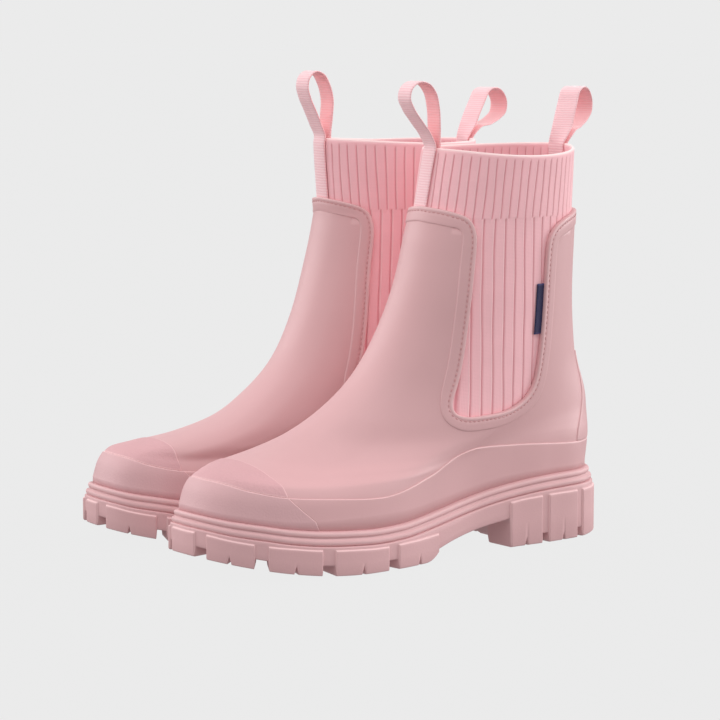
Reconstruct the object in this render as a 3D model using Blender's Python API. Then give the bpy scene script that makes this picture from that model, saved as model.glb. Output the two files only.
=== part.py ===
"""A pair of short pull-on rubber rain boots: lugged outsole, moulded rubber upper with a ribbed knit
shaft in its side gores, a padded footbed and ribbon pull loops.

Each boot is worked out in its own frame, in millimetres: +X to the outer side of the foot, -Y to the
toe, +Z up, with Y = 0 at mid sole.  Blender gets metres.  The surface of a boot is a function of two
numbers.  s goes round the boot: 0 at the toe, 0.5 at the outer side, 1 at the heel, 1.5 at the inner
side, 2 back at the toe.  q climbs from 0 at the sole to 1 at the rim of the cuff.
"""

import math

import bpy
import numpy as np

# The pair
SPACING = 107.7  # between the two boots' centre lines
STAGGER = 2.9  # the right boot stands this much further back
PAIR_Y = -3.8  # puts the origin under the middle of the pair
TOE_OUT = 2.8  # degrees that each boot turns outwards

# Heights
CUFF_HEIGHT = 234.5
CUFF_SAG = 1.0
GROUND_CLEAR = 5.5  # depth of the tread grooves
SPRING_START = -55.0  # forward of this Y the toe curls up
SPRING = 0.0016
WELT_HALF = 4.7

# Cuff oval
CUFF_Y = 80.7
CUFF_HALF_LENGTH = 54.5
CUFF_HALF_WIDTH = 41.0
GIRTH = 155.0  # millimetres of shaft wall for one unit of s

# Walls
GAP = 0.3
LOOSE_GAP = 0.7  # between pieces whose facets don't match
RUBBER = 2.2
KNIT = 1.8
LINING = 1.2
OVERLAY = 0.8
RIBBON = 1.0
RIBBON_WIDTH = 13.0
FEATHER_INSET = 4.5
BAND_WIDTH = 9.0
TOPLINE_STEP = 7.5

# Outsole outline, as (x, y), outer side from toe to heel and inner side from heel to toe
OUTER_SIDE = [(-7.3, -142.5), (17.5, -137), (36, -119), (48, -92), (53, -62), (52, -32), (46.5, -2),
              (42, 28), (41.5, 58), (42, 88), (38, 118), (23.5, 136.5)]
INNER_SIDE = [(0, 142.5), (-23.5, 136.5), (-37.5, 118), (-41, 88), (-37.5, 58), (-35.5, 28),
              (-37.5, -2), (-43, -32), (-48, -62), (-48.5, -92), (-42.5, -119), (-29, -137)]

# Lugs of the tread, as (front Y, back Y), and the waist of the sole between forefoot and heel
LUGS = [(-142.5, -141.7), (-139.5, -122.4), (-116, -87.4), (-79.5, -43.8), (-36.2, -2.8),
        (56, 80), (85.5, 109), (114.3, 136), (139, 142.5)]
HEEL_BREAST = 56.0
LUG_PROUD = 1.5
LUG_DEPTH = 20.0

# Curves along the boot, as (y, z): middle of the welt, underside of the waist, top of the lugs
WELT_LINE = [(-142, 34.5), (-131, 31.2), (-87, 25.8), (-31, 26.5), (18, 31.5), (58, 36.7), (97, 38.2),
             (142, 37.5)]
WAIST_LINE = [(-2.8, 6.0), (10, 9.5), (30, 13.5), (56, 17.0)]
LUG_TOP_LINE = [(-142, 27), (-132, 23.5), (-103, 19), (-62, 16.5), (-2.8, 16), (56, 27.5), (97, 29),
                (142, 28.5)]
FOXING_LINE = [(-142, 54), (-130, 53), (-119, 49), (-101, 45), (-77, 43), (-44, 41), (-4, 49), (20, 58),
               (35, 60), (66, 59), (115, 58), (145, 58)]

# How the wall leans in from the sole to the cuff, against q: share of the way in plan, share of the
# way in height, at the front and at the sides and back; then the doming of the vamp, its lean to the
# inner side, and the hollow of the back against height
Q = [0, 0.1, 0.2, 0.3, 0.4, 0.5, 0.6, 0.7, 0.8, 0.9, 1]
FRONT_IN = [0, 0.02, 0.06, 0.14, 0.29, 0.46, 0.60, 0.73, 0.83, 0.915, 1]
FRONT_UP = [0, 0.048, 0.085, 0.105, 0.128, 0.168, 0.233, 0.328, 0.464, 0.659, 1]
SIDE_IN = [0, 0.015, 0.045, 0.10, 0.23, 0.41, 0.565, 0.71, 0.82, 0.91, 1]
SIDE_UP = [0, 0.05, 0.085, 0.108, 0.135, 0.175, 0.238, 0.33, 0.464, 0.659, 1]
DOME = [0, 0.02, 0.08, 0.16, 0.18, 0.15, 0.11, 0.07, 0.03, 0, 0]
VAMP_LEAN = [0, 0, 0, 5, 9, 10, 8, 6, 3, 0, 0]
BACK_HOLLOW = [(40, 0), (60, 3), (80, 4), (110, -4), (150, -7.5), (190, -6), (234.5, -4)]

# Top edge of the rubber on one side, as (girth from the front, z, corner radius)
TOPLINE = [(0, 200, 0), (42.5, 197.5, 13), (43.5, 150, 90), (54, 78.5, 15), (98.5, 80, 17),
           (88.5, 165, 60), (89, 195.5, 13), (155, 199.5, 0)]

# Toe cap and bumper
CAP_Y = -103.0
BUMPER_END = (0.244, 0.186)  # s of the bumper's end at the sole and at its top

# Pull loop, as (outwards, up) from the wall at the rim
LOOP_PATH = [(-1.7, 1), (1, 8), (7, 17), (13, 26), (15.5, 33), (13.5, 39), (7.5, 42.5), (0.5, 41),
             (-4.5, 35), (-6.8, 26), (-6.8, 14), (-5.1, 1)]

PINK = (0.80, 0.44, 0.46)
SOLE_PINK = (0.77, 0.42, 0.44)
KNIT_PINK = (0.86, 0.46, 0.51)
RIBBON_PINK = (0.93, 0.56, 0.57)
LINING_PINK = (0.85, 0.60, 0.60)
FOAM = (0.86, 0.78, 0.74)
NAVY = (0.02, 0.02, 0.08)

MM = 0.001


def curve_value(knots, x):
    """Smooth curve through (x, y) knots that never overshoots them."""
    xs, ys = (np.array(values, float) for values in zip(*knots))
    step = np.diff(xs)
    slope = np.diff(ys) / step
    lean = np.concatenate([slope[:1], np.zeros(len(xs) - 2), slope[-1:]])
    for i in range(1, len(xs) - 1):
        if slope[i - 1] * slope[i] > 0:
            before = 2 * step[i] + step[i - 1]
            after = step[i] + 2 * step[i - 1]
            lean[i] = (before + after) / (before / slope[i - 1] + after / slope[i])
    x = np.clip(np.asarray(x, float), xs[0], xs[-1])
    i = np.clip(np.searchsorted(xs, x) - 1, 0, len(xs) - 2)
    t = (x - xs[i]) / step[i]
    return ((2 * t**3 - 3 * t**2 + 1) * ys[i] + (t**3 - 2 * t**2 + t) * step[i] * lean[i]
            + (3 * t**2 - 2 * t**3) * ys[i + 1] + (t**3 - t**2) * step[i] * lean[i + 1])


def smooth_path(points, closed=True, steps=30):
    """Smooth line through points, as an array with `steps` samples between each two."""
    p = np.array(points, float)
    count = len(p)
    spans = count if closed else count - 1
    t = np.linspace(0, 1, steps, endpoint=False)[:, None]
    rows = []
    for i in range(spans):
        a, b = p[i], p[(i + 1) % count]
        before = p[i - 1] if closed or i > 0 else 2 * a - b
        after = p[(i + 2) % count] if closed or i + 2 < count else 2 * b - a
        gaps = [np.linalg.norm(d) for d in (a - before, b - a, after - b)]
        u = ((b - a) / gaps[1] * gaps[0] + (a - before) / gaps[0] * gaps[1]) / (gaps[0] + gaps[1])
        v = ((after - b) / gaps[2] * gaps[1] + (b - a) / gaps[1] * gaps[2]) / (gaps[1] + gaps[2])
        rows.append((2 * t**3 - 3 * t**2 + 1) * a + (t**3 - 2 * t**2 + t) * gaps[1] * u
                    + (3 * t**2 - 2 * t**3) * b + (t**3 - t**2) * gaps[1] * v)
    if not closed:
        rows.append(p[-1:])
    return np.vstack(rows)


def outline_sides():
    """The sole's outline as two dense lines, toe to heel, with their lengths as 0 to 1."""
    line = smooth_path(OUTER_SIDE + INNER_SIDE)
    line = np.roll(line, -int(line[:, 1].argmin()), axis=0)
    heel = int(line[:, 1].argmax())
    sides = []
    for side in (line[:heel + 1], np.vstack([line[heel:], line[:1]])[::-1]):
        run = np.concatenate([[0], np.cumsum(np.linalg.norm(np.diff(side, axis=0), axis=1))])
        sides.append((run / run[-1], side))
    return sides


SIDES = outline_sides()


def outline(s, inset=0.0):
    """Point (x, y) of the sole's outline at s, moved inwards by inset."""
    def raw(s):
        s = np.mod(s, 2)
        (run_a, a), (run_b, b) = SIDES
        outer = [np.interp(s, run_a, a[:, k]) for k in (0, 1)]
        inner = [np.interp(2 - s, run_b, b[:, k]) for k in (0, 1)]
        return [np.where(s <= 1, o, i) for o, i in zip(outer, inner)]
    s = np.asarray(s, float)
    x, y = raw(s)
    x1, y1 = raw(s + 0.004)
    x0, y0 = raw(s - 0.004)
    length = np.hypot(x1 - x0, y1 - y0)
    return x - (y1 - y0) / length * inset, y + (x1 - x0) / length * inset


def toe_spring(y):
    return SPRING * np.maximum(0, SPRING_START - y) ** 2


def inner_partner(s):
    """The s on the inner side that has the same Y as s on the outer side."""
    (run_a, a), (run_b, b) = SIDES
    return 2 - np.interp(np.interp(s, run_a, a[:, 1]), b[:, 1], run_b)


def wall(s, q):
    """The boot's outer surface."""
    s, q = np.broadcast_arrays(np.asarray(s, float), np.asarray(q, float))
    base_x, base_y = outline(s, FEATHER_INSET)
    base_z = curve_value(WELT_LINE, base_y) + WELT_HALF + LOOSE_GAP
    angle = math.pi * s
    cuff_x = CUFF_HALF_WIDTH * np.sin(angle)
    cuff_y = CUFF_Y - CUFF_HALF_LENGTH * np.cos(angle)
    cuff_z = CUFF_HEIGHT - CUFF_SAG * np.sin(angle) ** 2
    front = np.clip((np.cos(angle) + 0.2) / 1.2, 0, 1)
    shares = [curve_value(zip(Q, knots), q) for knots in (FRONT_IN, SIDE_IN, FRONT_UP, SIDE_UP)]
    inwards = front * shares[0] + (1 - front) * shares[1]
    upwards = front * shares[2] + (1 - front) * shares[3]
    x = base_x + (cuff_x - base_x) * inwards
    y = base_y + (cuff_y - base_y) * inwards
    z = base_z + (cuff_z - base_z) * upwards
    ball = np.exp(-((np.minimum(np.mod(s, 2), 2 - np.mod(s, 2)) - 0.25) / 0.16) ** 2)
    x = x * (1 - curve_value(zip(Q, DOME), q) * ball)
    x = x - curve_value(zip(Q, VAMP_LEAN), q) * front
    y = y + np.clip(-np.cos(angle), 0, 1) ** 2 * curve_value(BACK_HOLLOW, z)
    return np.stack([x, y, z], -1)


def wall_normal(s, q):
    s, q = np.broadcast_arrays(np.asarray(s, float), np.asarray(q, float))
    e = 0.004
    along = wall(s + e, q) - wall(s - e, q)
    up = wall(s, np.minimum(q + e, 1)) - wall(s, np.maximum(q - e, 0))
    n = np.cross(along, up)
    return n / np.linalg.norm(n, axis=-1, keepdims=True)


def skin(s, q, lift):
    """The boot's surface moved outwards by lift."""
    return wall(s, q) + wall_normal(s, q) * lift


def q_at(s, value, axis=2):
    """The q where the wall reaches a height (axis 2) or a Y (axis 1) at s, by halving."""
    s, value = np.broadcast_arrays(np.asarray(s, float), np.asarray(value, float))
    low, high = np.zeros(s.shape), np.ones(s.shape)
    for _ in range(22):
        middle = (low + high) / 2
        under = wall(s, middle)[..., axis] < value
        low = np.where(under, middle, low)
        high = np.where(under, high, middle)
    return (low + high) / 2


def foxing_q(s):
    """The q of the foxing line at s: its height depends on how far along the boot it is."""
    q = np.full(np.shape(s), 0.15)
    for _ in range(6):
        q = q_at(s, curve_value(FOXING_LINE, wall(s, q)[..., 1]))
    return q


def rounded_line(corners, step):
    """A line through (x, y, radius) corners, each replaced by a curve that starts and ends one
    radius away from it, as points about one step apart."""
    points = [np.array(corners[0][:2], float)]
    for before, corner, after in zip(corners, corners[1:], corners[2:]):
        c = np.array(corner[:2], float)
        arms = [np.array(other[:2], float) - c for other in (before, after)]
        reach = [min(corner[2], np.linalg.norm(arm) * 0.48) for arm in arms]
        a, b = (c + arm / np.linalg.norm(arm) * r for arm, r in zip(arms, reach))
        t = np.linspace(0, 1, 12)[:, None]
        points.extend((1 - t) ** 2 * a + 2 * t * (1 - t) * c + t**2 * b)
    points.append(np.array(corners[-1][:2], float))
    points = np.array(points)
    run = np.concatenate([[0], np.cumsum(np.linalg.norm(np.diff(points, axis=0), axis=1))])
    even = np.linspace(0, run[-1], int(run[-1] / step) + 1)
    return np.stack([np.interp(even, run, points[:, k]) for k in (0, 1)], -1)


def topline():
    """The rubber's top edge all round, as s and z."""
    half = rounded_line(TOPLINE, TOPLINE_STEP)
    s = np.concatenate([half[:, 0] / GIRTH, 2 - half[-2:0:-1, 0] / GIRTH])
    z = np.concatenate([half[:, 1], half[-2:0:-1, 1]])
    return s, z


# Meshes


class Boot:
    """One boot: an empty that carries its pieces, and which side it is."""

    def __init__(self, side):
        self.side = side
        self.sign = 1 if side == "left" else -1
        self.frame = bpy.data.objects.new(side + "_boot_frame", None)
        stagger = STAGGER if side == "right" else 0
        self.frame.location = (self.sign * SPACING / 2 * MM, (PAIR_Y + stagger) * MM, 0)
        self.frame.rotation_euler = (0, 0, self.sign * math.radians(TOE_OUT))
        bpy.context.collection.objects.link(self.frame)

    def add(self, name, points, faces, colour, roughness, origin=(0, 0, 0)):
        """Add one closed piece, mirrored for the right boot, with its origin at a point of the boot."""
        flip = np.array([self.sign, 1, 1])
        points = (np.asarray(points).reshape(-1, 3) - np.array(origin)) * flip * MM
        if self.sign < 0:
            faces = [face[::-1] for face in faces]
        mesh = bpy.data.meshes.new(name)
        mesh.from_pydata(points.tolist(), [], faces)
        mesh.shade_smooth()
        mesh.set_sharp_from_angle(angle=math.radians(40))
        piece = bpy.data.objects.new(self.side + "_" + name, mesh)
        piece.parent = self.frame
        piece.location = np.array(origin) * flip * MM
        mesh.materials.append(plain_material(self.side + "_" + name, colour, roughness))
        bpy.context.collection.objects.link(piece)
        return piece


def plain_material(name, colour, roughness):
    material = bpy.data.materials.new(name)
    material.use_nodes = True
    shader = material.node_tree.nodes["Principled BSDF"]
    shader.inputs["Base Color"].default_value = (*colour, 1)
    shader.inputs["Roughness"].default_value = roughness
    shader.inputs["Metallic"].default_value = 0
    return material


def split(a, b, c, d):
    """A four-cornered face as two triangles, so that facets of nested shells match."""
    return [[a, b, c], [a, c, d]]


def grid_faces(rows, cols, wrap, start=0):
    """Faces of a grid of points stored row by row."""
    faces = []
    for r in range(rows - 1):
        for c in range(cols if wrap else cols - 1):
            d = (c + 1) % cols
            low, high = start + r * cols, start + (r + 1) * cols
            faces += split(low + c, low + d, high + d, high + c)
    return faces


def shell(outer, inner, wrap):
    """Closed body between two grids of the same shape, joined along their free edges."""
    rows, cols = outer.shape[:2]
    size = rows * cols
    faces = grid_faces(rows, cols, wrap)
    faces += [face[::-1] for face in grid_faces(rows, cols, wrap, size)]
    for c in range(cols if wrap else cols - 1):
        d = (c + 1) % cols
        top = (rows - 1) * cols
        faces += split(c, size + c, size + d, d)
        faces += split(top + d, size + top + d, size + top + c, top + c)
    if not wrap:
        last = cols - 1
        for r in range(rows - 1):
            a, b = r * cols, (r + 1) * cols
            faces += split(a, b, size + b, size + a)
            faces += split(b + last, a + last, size + a + last, size + b + last)
    return np.concatenate([outer.reshape(-1, 3), inner.reshape(-1, 3)]), faces


def ladder(cols, start, upwards):
    """Faces that close a ring whose outer half and inner half have partners at the same Y."""
    half = cols // 2
    faces = [[start, start + 1, start + cols - 1]]
    for i in range(1, half - 1):
        faces += split(start + i, start + i + 1, start + cols - i - 1, start + cols - i)
    faces.append([start + half - 1, start + half, start + half + 1])
    return faces if upwards else [face[::-1] for face in faces]


def stack(rings):
    """Closed body from rings of points, lowest first, each seen from above as toe, outer side, heel,
    inner side."""
    rings = np.array(rings)
    rows, cols = rings.shape[:2]
    faces = grid_faces(rows, cols, True) + ladder(cols, 0, False) + ladder(cols, (rows - 1) * cols, True)
    return rings, faces


def ring_columns(outer_s):
    """Round the boot: the outer side's columns and their partners on the inner side."""
    return np.concatenate([outer_s, inner_partner(outer_s[-2:0:-1])])


def ring(s, inset, height):
    x, y = outline(s, inset)
    return np.stack([x, y, height(y) if callable(height) else height], -1)


# Sole


def sole_columns():
    """Columns for the outsole: two at each lug's edge, so that the lug's side is steep."""
    y_edges = sorted({y for lug in LUGS for y in lug if abs(y) < 142})
    marks = [y + d for y in y_edges for d in (-0.25, 0.25)]
    marks += [-131, -108, -98, -70, -55, 12, 27, 42, 68, 97, 124, 131]
    run, side = SIDES[0]
    s = np.interp(np.array(sorted(marks)), side[:, 1], run)
    return np.concatenate([[0], s, [1]])


def outsole(boot):
    s = ring_columns(sole_columns())
    y = outline(s)[1]
    lug = np.zeros(len(s))
    for front, back in LUGS:
        lug = np.maximum(lug, (y > front - 0.05) & (y < back + 0.05))
    waist = (y > LUGS[4][1]) & (y < HEEL_BREAST)
    ground = toe_spring(y)
    floor = np.where(waist, curve_value(WAIST_LINE, y), ground + GROUND_CLEAR)
    bottom = np.where(lug > 0, ground, floor)
    lug_top = curve_value(LUG_TOP_LINE, y)
    top = curve_value(WELT_LINE, y) - WELT_HALF - LOOSE_GAP
    side = LUG_PROUD * (1 - lug)
    levels = [(LUG_DEPTH + 1, floor), (LUG_DEPTH, bottom), (side + 1.2, bottom), (side, bottom + 1.2),
              (side, lug_top - 1.2), (LUG_PROUD, lug_top), (LUG_PROUD, top)]
    rings = [np.stack([*outline(s, inset), height], -1) for inset, height in levels]
    boot.add("outsole", *stack(rings), SOLE_PINK, 0.6)


def plate(boot, name, inset, low, high, colour, roughness):
    """A flat layer of the shoe bottom, between two heights measured from the welt's middle."""
    s = ring_columns(np.linspace(0, 1, 17))
    rings = []
    for height in (low, high):
        x, y = outline(s, inset)
        rings.append(np.stack([x, y, curve_value(WELT_LINE, y) + height], -1))
    boot.add(name, *stack(rings), colour, roughness)


def welt(boot):
    """A band with two round cords, all round the top of the sole."""
    profile = [(6.5, -4.7), (1.5, -4.7), (0, -3.5), (0, -1.9), (2.1, -0.2), (1.1, 1.3), (1.1, 3.0),
               (2.8, 4.7), (6.5, 4.7)]
    s = np.linspace(0, 2, 44, endpoint=False)
    rows = []
    for inset, rise in profile:
        x, y = outline(s, inset)
        rows.append(np.stack([x, y, curve_value(WELT_LINE, y) + rise], -1))
    rows = np.array(rows)
    faces = grid_faces(len(profile), len(s), True)
    last = (len(profile) - 1) * len(s)
    for c in range(len(s)):
        d = (c + 1) % len(s)
        faces += split(last + c, last + d, d, c)
    boot.add("welt", rows, faces, SOLE_PINK, 0.55)


# Upper.  The shell, the lining and the knit share their columns and rows, so that their facets nest.
COLUMNS = np.linspace(0, 2, 40, endpoint=False)
SPLIT = 0.5  # the q where the foot lining ends and the knit begins
LOWER_ROWS = [0, 0.1, 0.2, 0.3, 0.4]
UPPER_ROWS = [0.6, 0.7, 0.8, 0.88, 0.93, 0.975]


def upper(boot):
    """The rubber shell, with its top edge cut to the topline."""
    s = COLUMNS
    q = np.array(LOWER_ROWS + [SPLIT] + UPPER_ROWS)[:, None]
    piece = boot.add("upper", *shell(skin(s, q, 0), skin(s, q, -RUBBER), True), PINK, 0.5)
    cut = piece.modifiers.new("topline", "BOOLEAN")
    cut.operation = "DIFFERENCE"
    cut.solver = "EXACT"
    cut.object = topline_cutter(boot)


def topline_cutter(boot):
    """A prism across the boot, whose lower outline is the topline seen from the side."""
    half = rounded_line(TOPLINE, TOPLINE_STEP)
    s = half[:, 0] / GIRTH
    edge = wall(s, q_at(s, half[:, 1]))[:, 1:]
    edge = np.vstack([[[-20, edge[0, 1]]], edge[1:-1], [[165, edge[-1, 1]], [165, 260], [-20, 260]]])
    count = len(edge)
    points = [(x, y, z) for x in (-80, 80) for y, z in edge]
    faces = [list(range(count))[::-1], list(range(count, 2 * count))]
    faces += [[i, (i + 1) % count, count + (i + 1) % count, count + i] for i in range(count)]
    cutter = boot.add("topline_cutter", points, faces, PINK, 0.5)
    cutter.hide_render = True
    cutter.display_type = "WIRE"
    return cutter


def overlay(boot, name, s, q, colour=PINK, low=LOOSE_GAP, thickness=OVERLAY):
    boot.add(name, *shell(skin(s, q, low + thickness), skin(s, q, low), False), colour, 0.5)


def toe_bumper(boot):
    """The band round the toe, from the welt to the foxing line, with slanting ends."""
    rise = np.linspace(0, 1, 4)[:, None]
    end = BUMPER_END[0] + (BUMPER_END[1] - BUMPER_END[0]) * rise
    s = np.mod(np.linspace(-1, 1, 17) * end, 2)
    overlay(boot, "toe_bumper", s, 0.012 + (foxing_q(s) - 0.012) * rise)


def toe_cap(boot):
    """The stippled cap on top of the toe, from the bumper back to a straight edge across the vamp."""
    s = np.mod(np.linspace(-0.165, 0.165, 13), 2)
    low = foxing_q(s) + 0.012
    rise = np.linspace(0, 1, 4)[:, None]
    overlay(boot, "toe_cap", s, low + (q_at(s, CAP_Y, axis=1) - low) * rise)


def mudguard(boot):
    """The band along both sides and round the heel, behind the toe bumper."""
    rise = np.linspace(0, 1, 4)[:, None]
    end = 0.004 + BUMPER_END[0] + (BUMPER_END[1] - BUMPER_END[0]) * rise
    s = 1 + np.linspace(-1, 1, 33) * (1 - end)
    overlay(boot, "mudguard", s, 0.012 + (foxing_q(s) - 0.012) * rise)


def heel_stay(boot):
    """The stiffening patch up the back of the heel."""
    rise = np.linspace(0, 1, 6)[:, None]
    s = 1 + np.linspace(-1, 1, 7) * 0.135 * (1 - 0.75 * rise**3)
    low = foxing_q(s) + 0.015
    overlay(boot, "heel_stay", s, low + (q_at(s, 104.0) - low) * rise, low=1.5 * LOOSE_GAP)


def topline_band(boot):
    """The raised border along the rubber's top edge, where the knit is stitched in."""
    s, z = topline()
    q = q_at(s, z)
    edge = wall(s, q)
    normal = wall_normal(s, q)
    forward = np.roll(edge, -1, axis=0) - np.roll(edge, 1, axis=0)
    down = np.cross(normal, forward)
    down /= -np.linalg.norm(down, axis=-1, keepdims=True)
    steps = [surface_steps(s, q, down * across) for across in (BAND_WIDTH, 0.4)]
    ss = np.array([s + step[0] for step in steps])
    qq = np.array([q + step[1] for step in steps])
    outer, inner = skin(ss, qq, LOOSE_GAP + OVERLAY), skin(ss, qq, LOOSE_GAP)
    boot.add("topline_band", *shell(outer, inner, True), PINK, 0.5)


def surface_steps(s, q, move):
    """Steps in s and q that move a wall point by the given vector, found in four short walks."""
    s0, q0 = s.copy(), q.copy()
    for _ in range(4):
        e = 0.003
        ds = (wall(s + e, q) - wall(s - e, q)) / (2 * e)
        dq = (wall(s, q + e) - wall(s, q - e)) / (2 * e)
        a, b, c = (ds * ds).sum(-1), (ds * dq).sum(-1), (dq * dq).sum(-1)
        u, v = (ds * move).sum(-1) / 4, (dq * move).sum(-1) / 4
        s = s + (c * u - b * v) / (a * c - b * b)
        q = q + (a * v - b * u) / (a * c - b * b)
    return s - s0, q - q0


# Inside


def inner_tube(boot, name, q, thickness, colour):
    q = np.array(q)[:, None]
    outer = -RUBBER - GAP
    boot.add(name, *shell(skin(COLUMNS, q, outer), skin(COLUMNS, q, outer - thickness), True), colour, 0.9)


def side_label(boot):
    """A blank woven tab on the knit, against the gore's rear edge on the outer side."""
    s = np.array([0.519, 0.544, 0.569])
    z = np.array([125.0, 154.0])[:, None]
    lift = -RUBBER
    overlay(boot, "side_label", s, q_at(s, z), NAVY, lift, RIBBON)


# Pull loops


def loop_frame(end):
    """Rim point of the wall at the front (end 0) or back (end 1), and the outward direction."""
    return wall(float(end), 1.0), (-1 if end == 0 else 1)


def pull_loop(boot, name, end):
    """A ribbon arch that stands on the rim; it swings about its hinge line along the rim."""
    rim, out = loop_frame(end)
    line = smooth_path(LOOP_PATH, closed=False, steps=2)
    tangent = np.gradient(line, axis=0)
    tangent /= np.linalg.norm(tangent, axis=1, keepdims=True)
    side = np.stack([tangent[:, 1], -tangent[:, 0]], -1)
    rows = []
    for offset in (RIBBON / 2, -RIBBON / 2):
        edge = line + side * offset
        rows.append([[(x, rim[1] + out * o, rim[2] + u) for x in (-RIBBON_WIDTH / 2, RIBBON_WIDTH / 2)]
                     for o, u in edge])
    front, back = (rows if out > 0 else rows[::-1])
    points, faces = shell(np.array(front), np.array(back), False)
    hinge = (0, rim[1] - out * (RUBBER + GAP + KNIT / 2), rim[2])
    boot.add(name, points, [face[::-1] for face in faces], RIBBON_PINK, 0.8, hinge)


def loop_tab(boot, name, end):
    """The loop's outer end, sewn down on the knit from the rim to the rubber's top edge."""
    half = RIBBON_WIDTH / 2 / GIRTH
    s = float(end) + np.array([-half, 0, half])
    z = np.array([202.0, 217.0, CUFF_HEIGHT - 1.0])[:, None]
    lift = -RUBBER
    overlay(boot, name, np.mod(s, 2), q_at(np.mod(s, 2), z), RIBBON_PINK, lift, RIBBON)


def build_boot(side):
    boot = Boot(side)
    outsole(boot)
    plate(boot, "insole_board", 8.0, -4.2, -1.6, FOAM, 0.8)
    plate(boot, "footbed", 8.0, -1.2, 3.8, LINING_PINK, 0.9)
    welt(boot)
    upper(boot)
    toe_bumper(boot)
    toe_cap(boot)
    mudguard(boot)
    heel_stay(boot)
    topline_band(boot)
    inner_tube(boot, "foot_lining", LOWER_ROWS + [SPLIT - 0.005], LINING, LINING_PINK)
    inner_tube(boot, "knit_shaft", [SPLIT + 0.005] + UPPER_ROWS + [1], KNIT, KNIT_PINK)
    side_label(boot)
    for end, place in enumerate(("front", "back")):
        pull_loop(boot, place + "_pull_loop", end)
        loop_tab(boot, place + "_loop_tab", end)


for old in list(bpy.data.objects):
    bpy.data.objects.remove(old, do_unlink=True)

for boot_side in ("left", "right"):
    build_boot(boot_side)
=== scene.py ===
"""A pair of short rubber rain boots with knitted gores, lugged soles and ribbon pull loops.

Lengths are millimetres of one boot until a mesh is made: +X to the outer side of the foot, -Y to
the toe, +Z up.  The surface of a boot is a function of s, once round it (0 toe, 0.5 outer side,
1 heel, 1.5 inner side), and q, from 0 at the sole to 1 at the rim of the cuff.
"""

import math

import bpy
import numpy as np
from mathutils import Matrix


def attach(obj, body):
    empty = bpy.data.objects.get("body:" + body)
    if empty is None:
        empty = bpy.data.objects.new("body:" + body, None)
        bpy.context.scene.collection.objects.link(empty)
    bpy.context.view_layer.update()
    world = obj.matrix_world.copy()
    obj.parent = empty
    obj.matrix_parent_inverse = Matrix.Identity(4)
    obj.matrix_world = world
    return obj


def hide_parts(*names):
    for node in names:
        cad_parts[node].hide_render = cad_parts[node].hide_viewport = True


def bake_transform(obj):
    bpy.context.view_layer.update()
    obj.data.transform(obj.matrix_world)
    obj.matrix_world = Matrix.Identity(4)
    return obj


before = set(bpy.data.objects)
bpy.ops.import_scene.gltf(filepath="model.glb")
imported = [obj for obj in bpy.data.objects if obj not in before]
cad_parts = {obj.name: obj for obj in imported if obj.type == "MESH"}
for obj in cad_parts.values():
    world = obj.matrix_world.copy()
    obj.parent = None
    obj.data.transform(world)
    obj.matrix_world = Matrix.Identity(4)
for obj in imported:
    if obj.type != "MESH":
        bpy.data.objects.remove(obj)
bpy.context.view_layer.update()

SIDES = ("left", "right")


# ---------------------------------------------------------------- the sole
# One block of expanded rubber: a lugged tread at front and heel, an arched waist between them.
# It is moulded onto the foot of the boot, and the lugs stand a little proud of its side wall.

OUTER_SIDE = [(-7.3, -142.5), (17.5, -137), (36, -119), (48, -92), (53, -62), (52, -32), (46.5, -2),
              (42, 28), (41.5, 58), (42, 88), (38, 118), (23.5, 136.5)]
INNER_SIDE = [(0, 142.5), (-23.5, 136.5), (-37.5, 118), (-41, 88), (-37.5, 58), (-35.5, 28),
              (-37.5, -2), (-43, -32), (-48, -62), (-48.5, -92), (-42.5, -119), (-29, -137)]
WELT_LINE = [(-142, 34.5), (-131, 31.2), (-87, 25.8), (-31, 26.5), (18, 31.5), (58, 36.7), (97, 38.2),
             (142, 37.5)]
CORD_LINE = [(-142, 32.3), (-131, 29.5), (-118, 27.2), (-103, 24.4), (-87, 22.4), (-65, 20.9),
             (-49, 20.2), (-31, 20.7), (-10, 22.9), (18, 27.3), (44, 31.6), (58, 33.4), (85, 35.7),
             (110, 36.3), (142, 35.7)]
WAIST_LINE = [(-2.8, 6.0), (10, 9.5), (30, 13.5), (56, 17.0)]
LUG_TOP_LINE = [(-142, 26.5), (-132, 23.2), (-103, 18.2), (-62, 14.8), (-30, 14.6), (-2.8, 15.8),
                (56, 27.5), (97, 29), (142, 28.5)]
OUTER_LUGS = [(-143, -141.7), (-139.5, -122.4), (-116, -87.4), (-79.5, -43.8), (-36.2, -2.8),
              (56, 80), (85.5, 109), (114.3, 143)]
INNER_LUGS = [(-143, -140.9), (-138.8, -119.5), (-113.8, -84), (-76, -41), (-33.5, -2.8),
              (56, 80), (85.5, 109), (114.3, 143)]
SOLE_MARGIN = 1.0
LUG_PROUD = 1.1
LUG_DEPTH = 20.0
GROOVE = 5.5
WELT_HALF = 4.7
TOE_OUT, BOOT_X, BOOT_Y = 2.8, 53.85, {"left": -3.8, "right": -0.9}


def cubic(t, length, start, start_slope, end, end_slope):
    """Cubic over a length, at a share t of it, between two values with the slopes given there."""
    return ((2 * t**3 - 3 * t**2 + 1) * start + (t**3 - 2 * t**2 + t) * length * start_slope
            + (3 * t**2 - 2 * t**3) * end + (t**3 - t**2) * length * end_slope)


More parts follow.
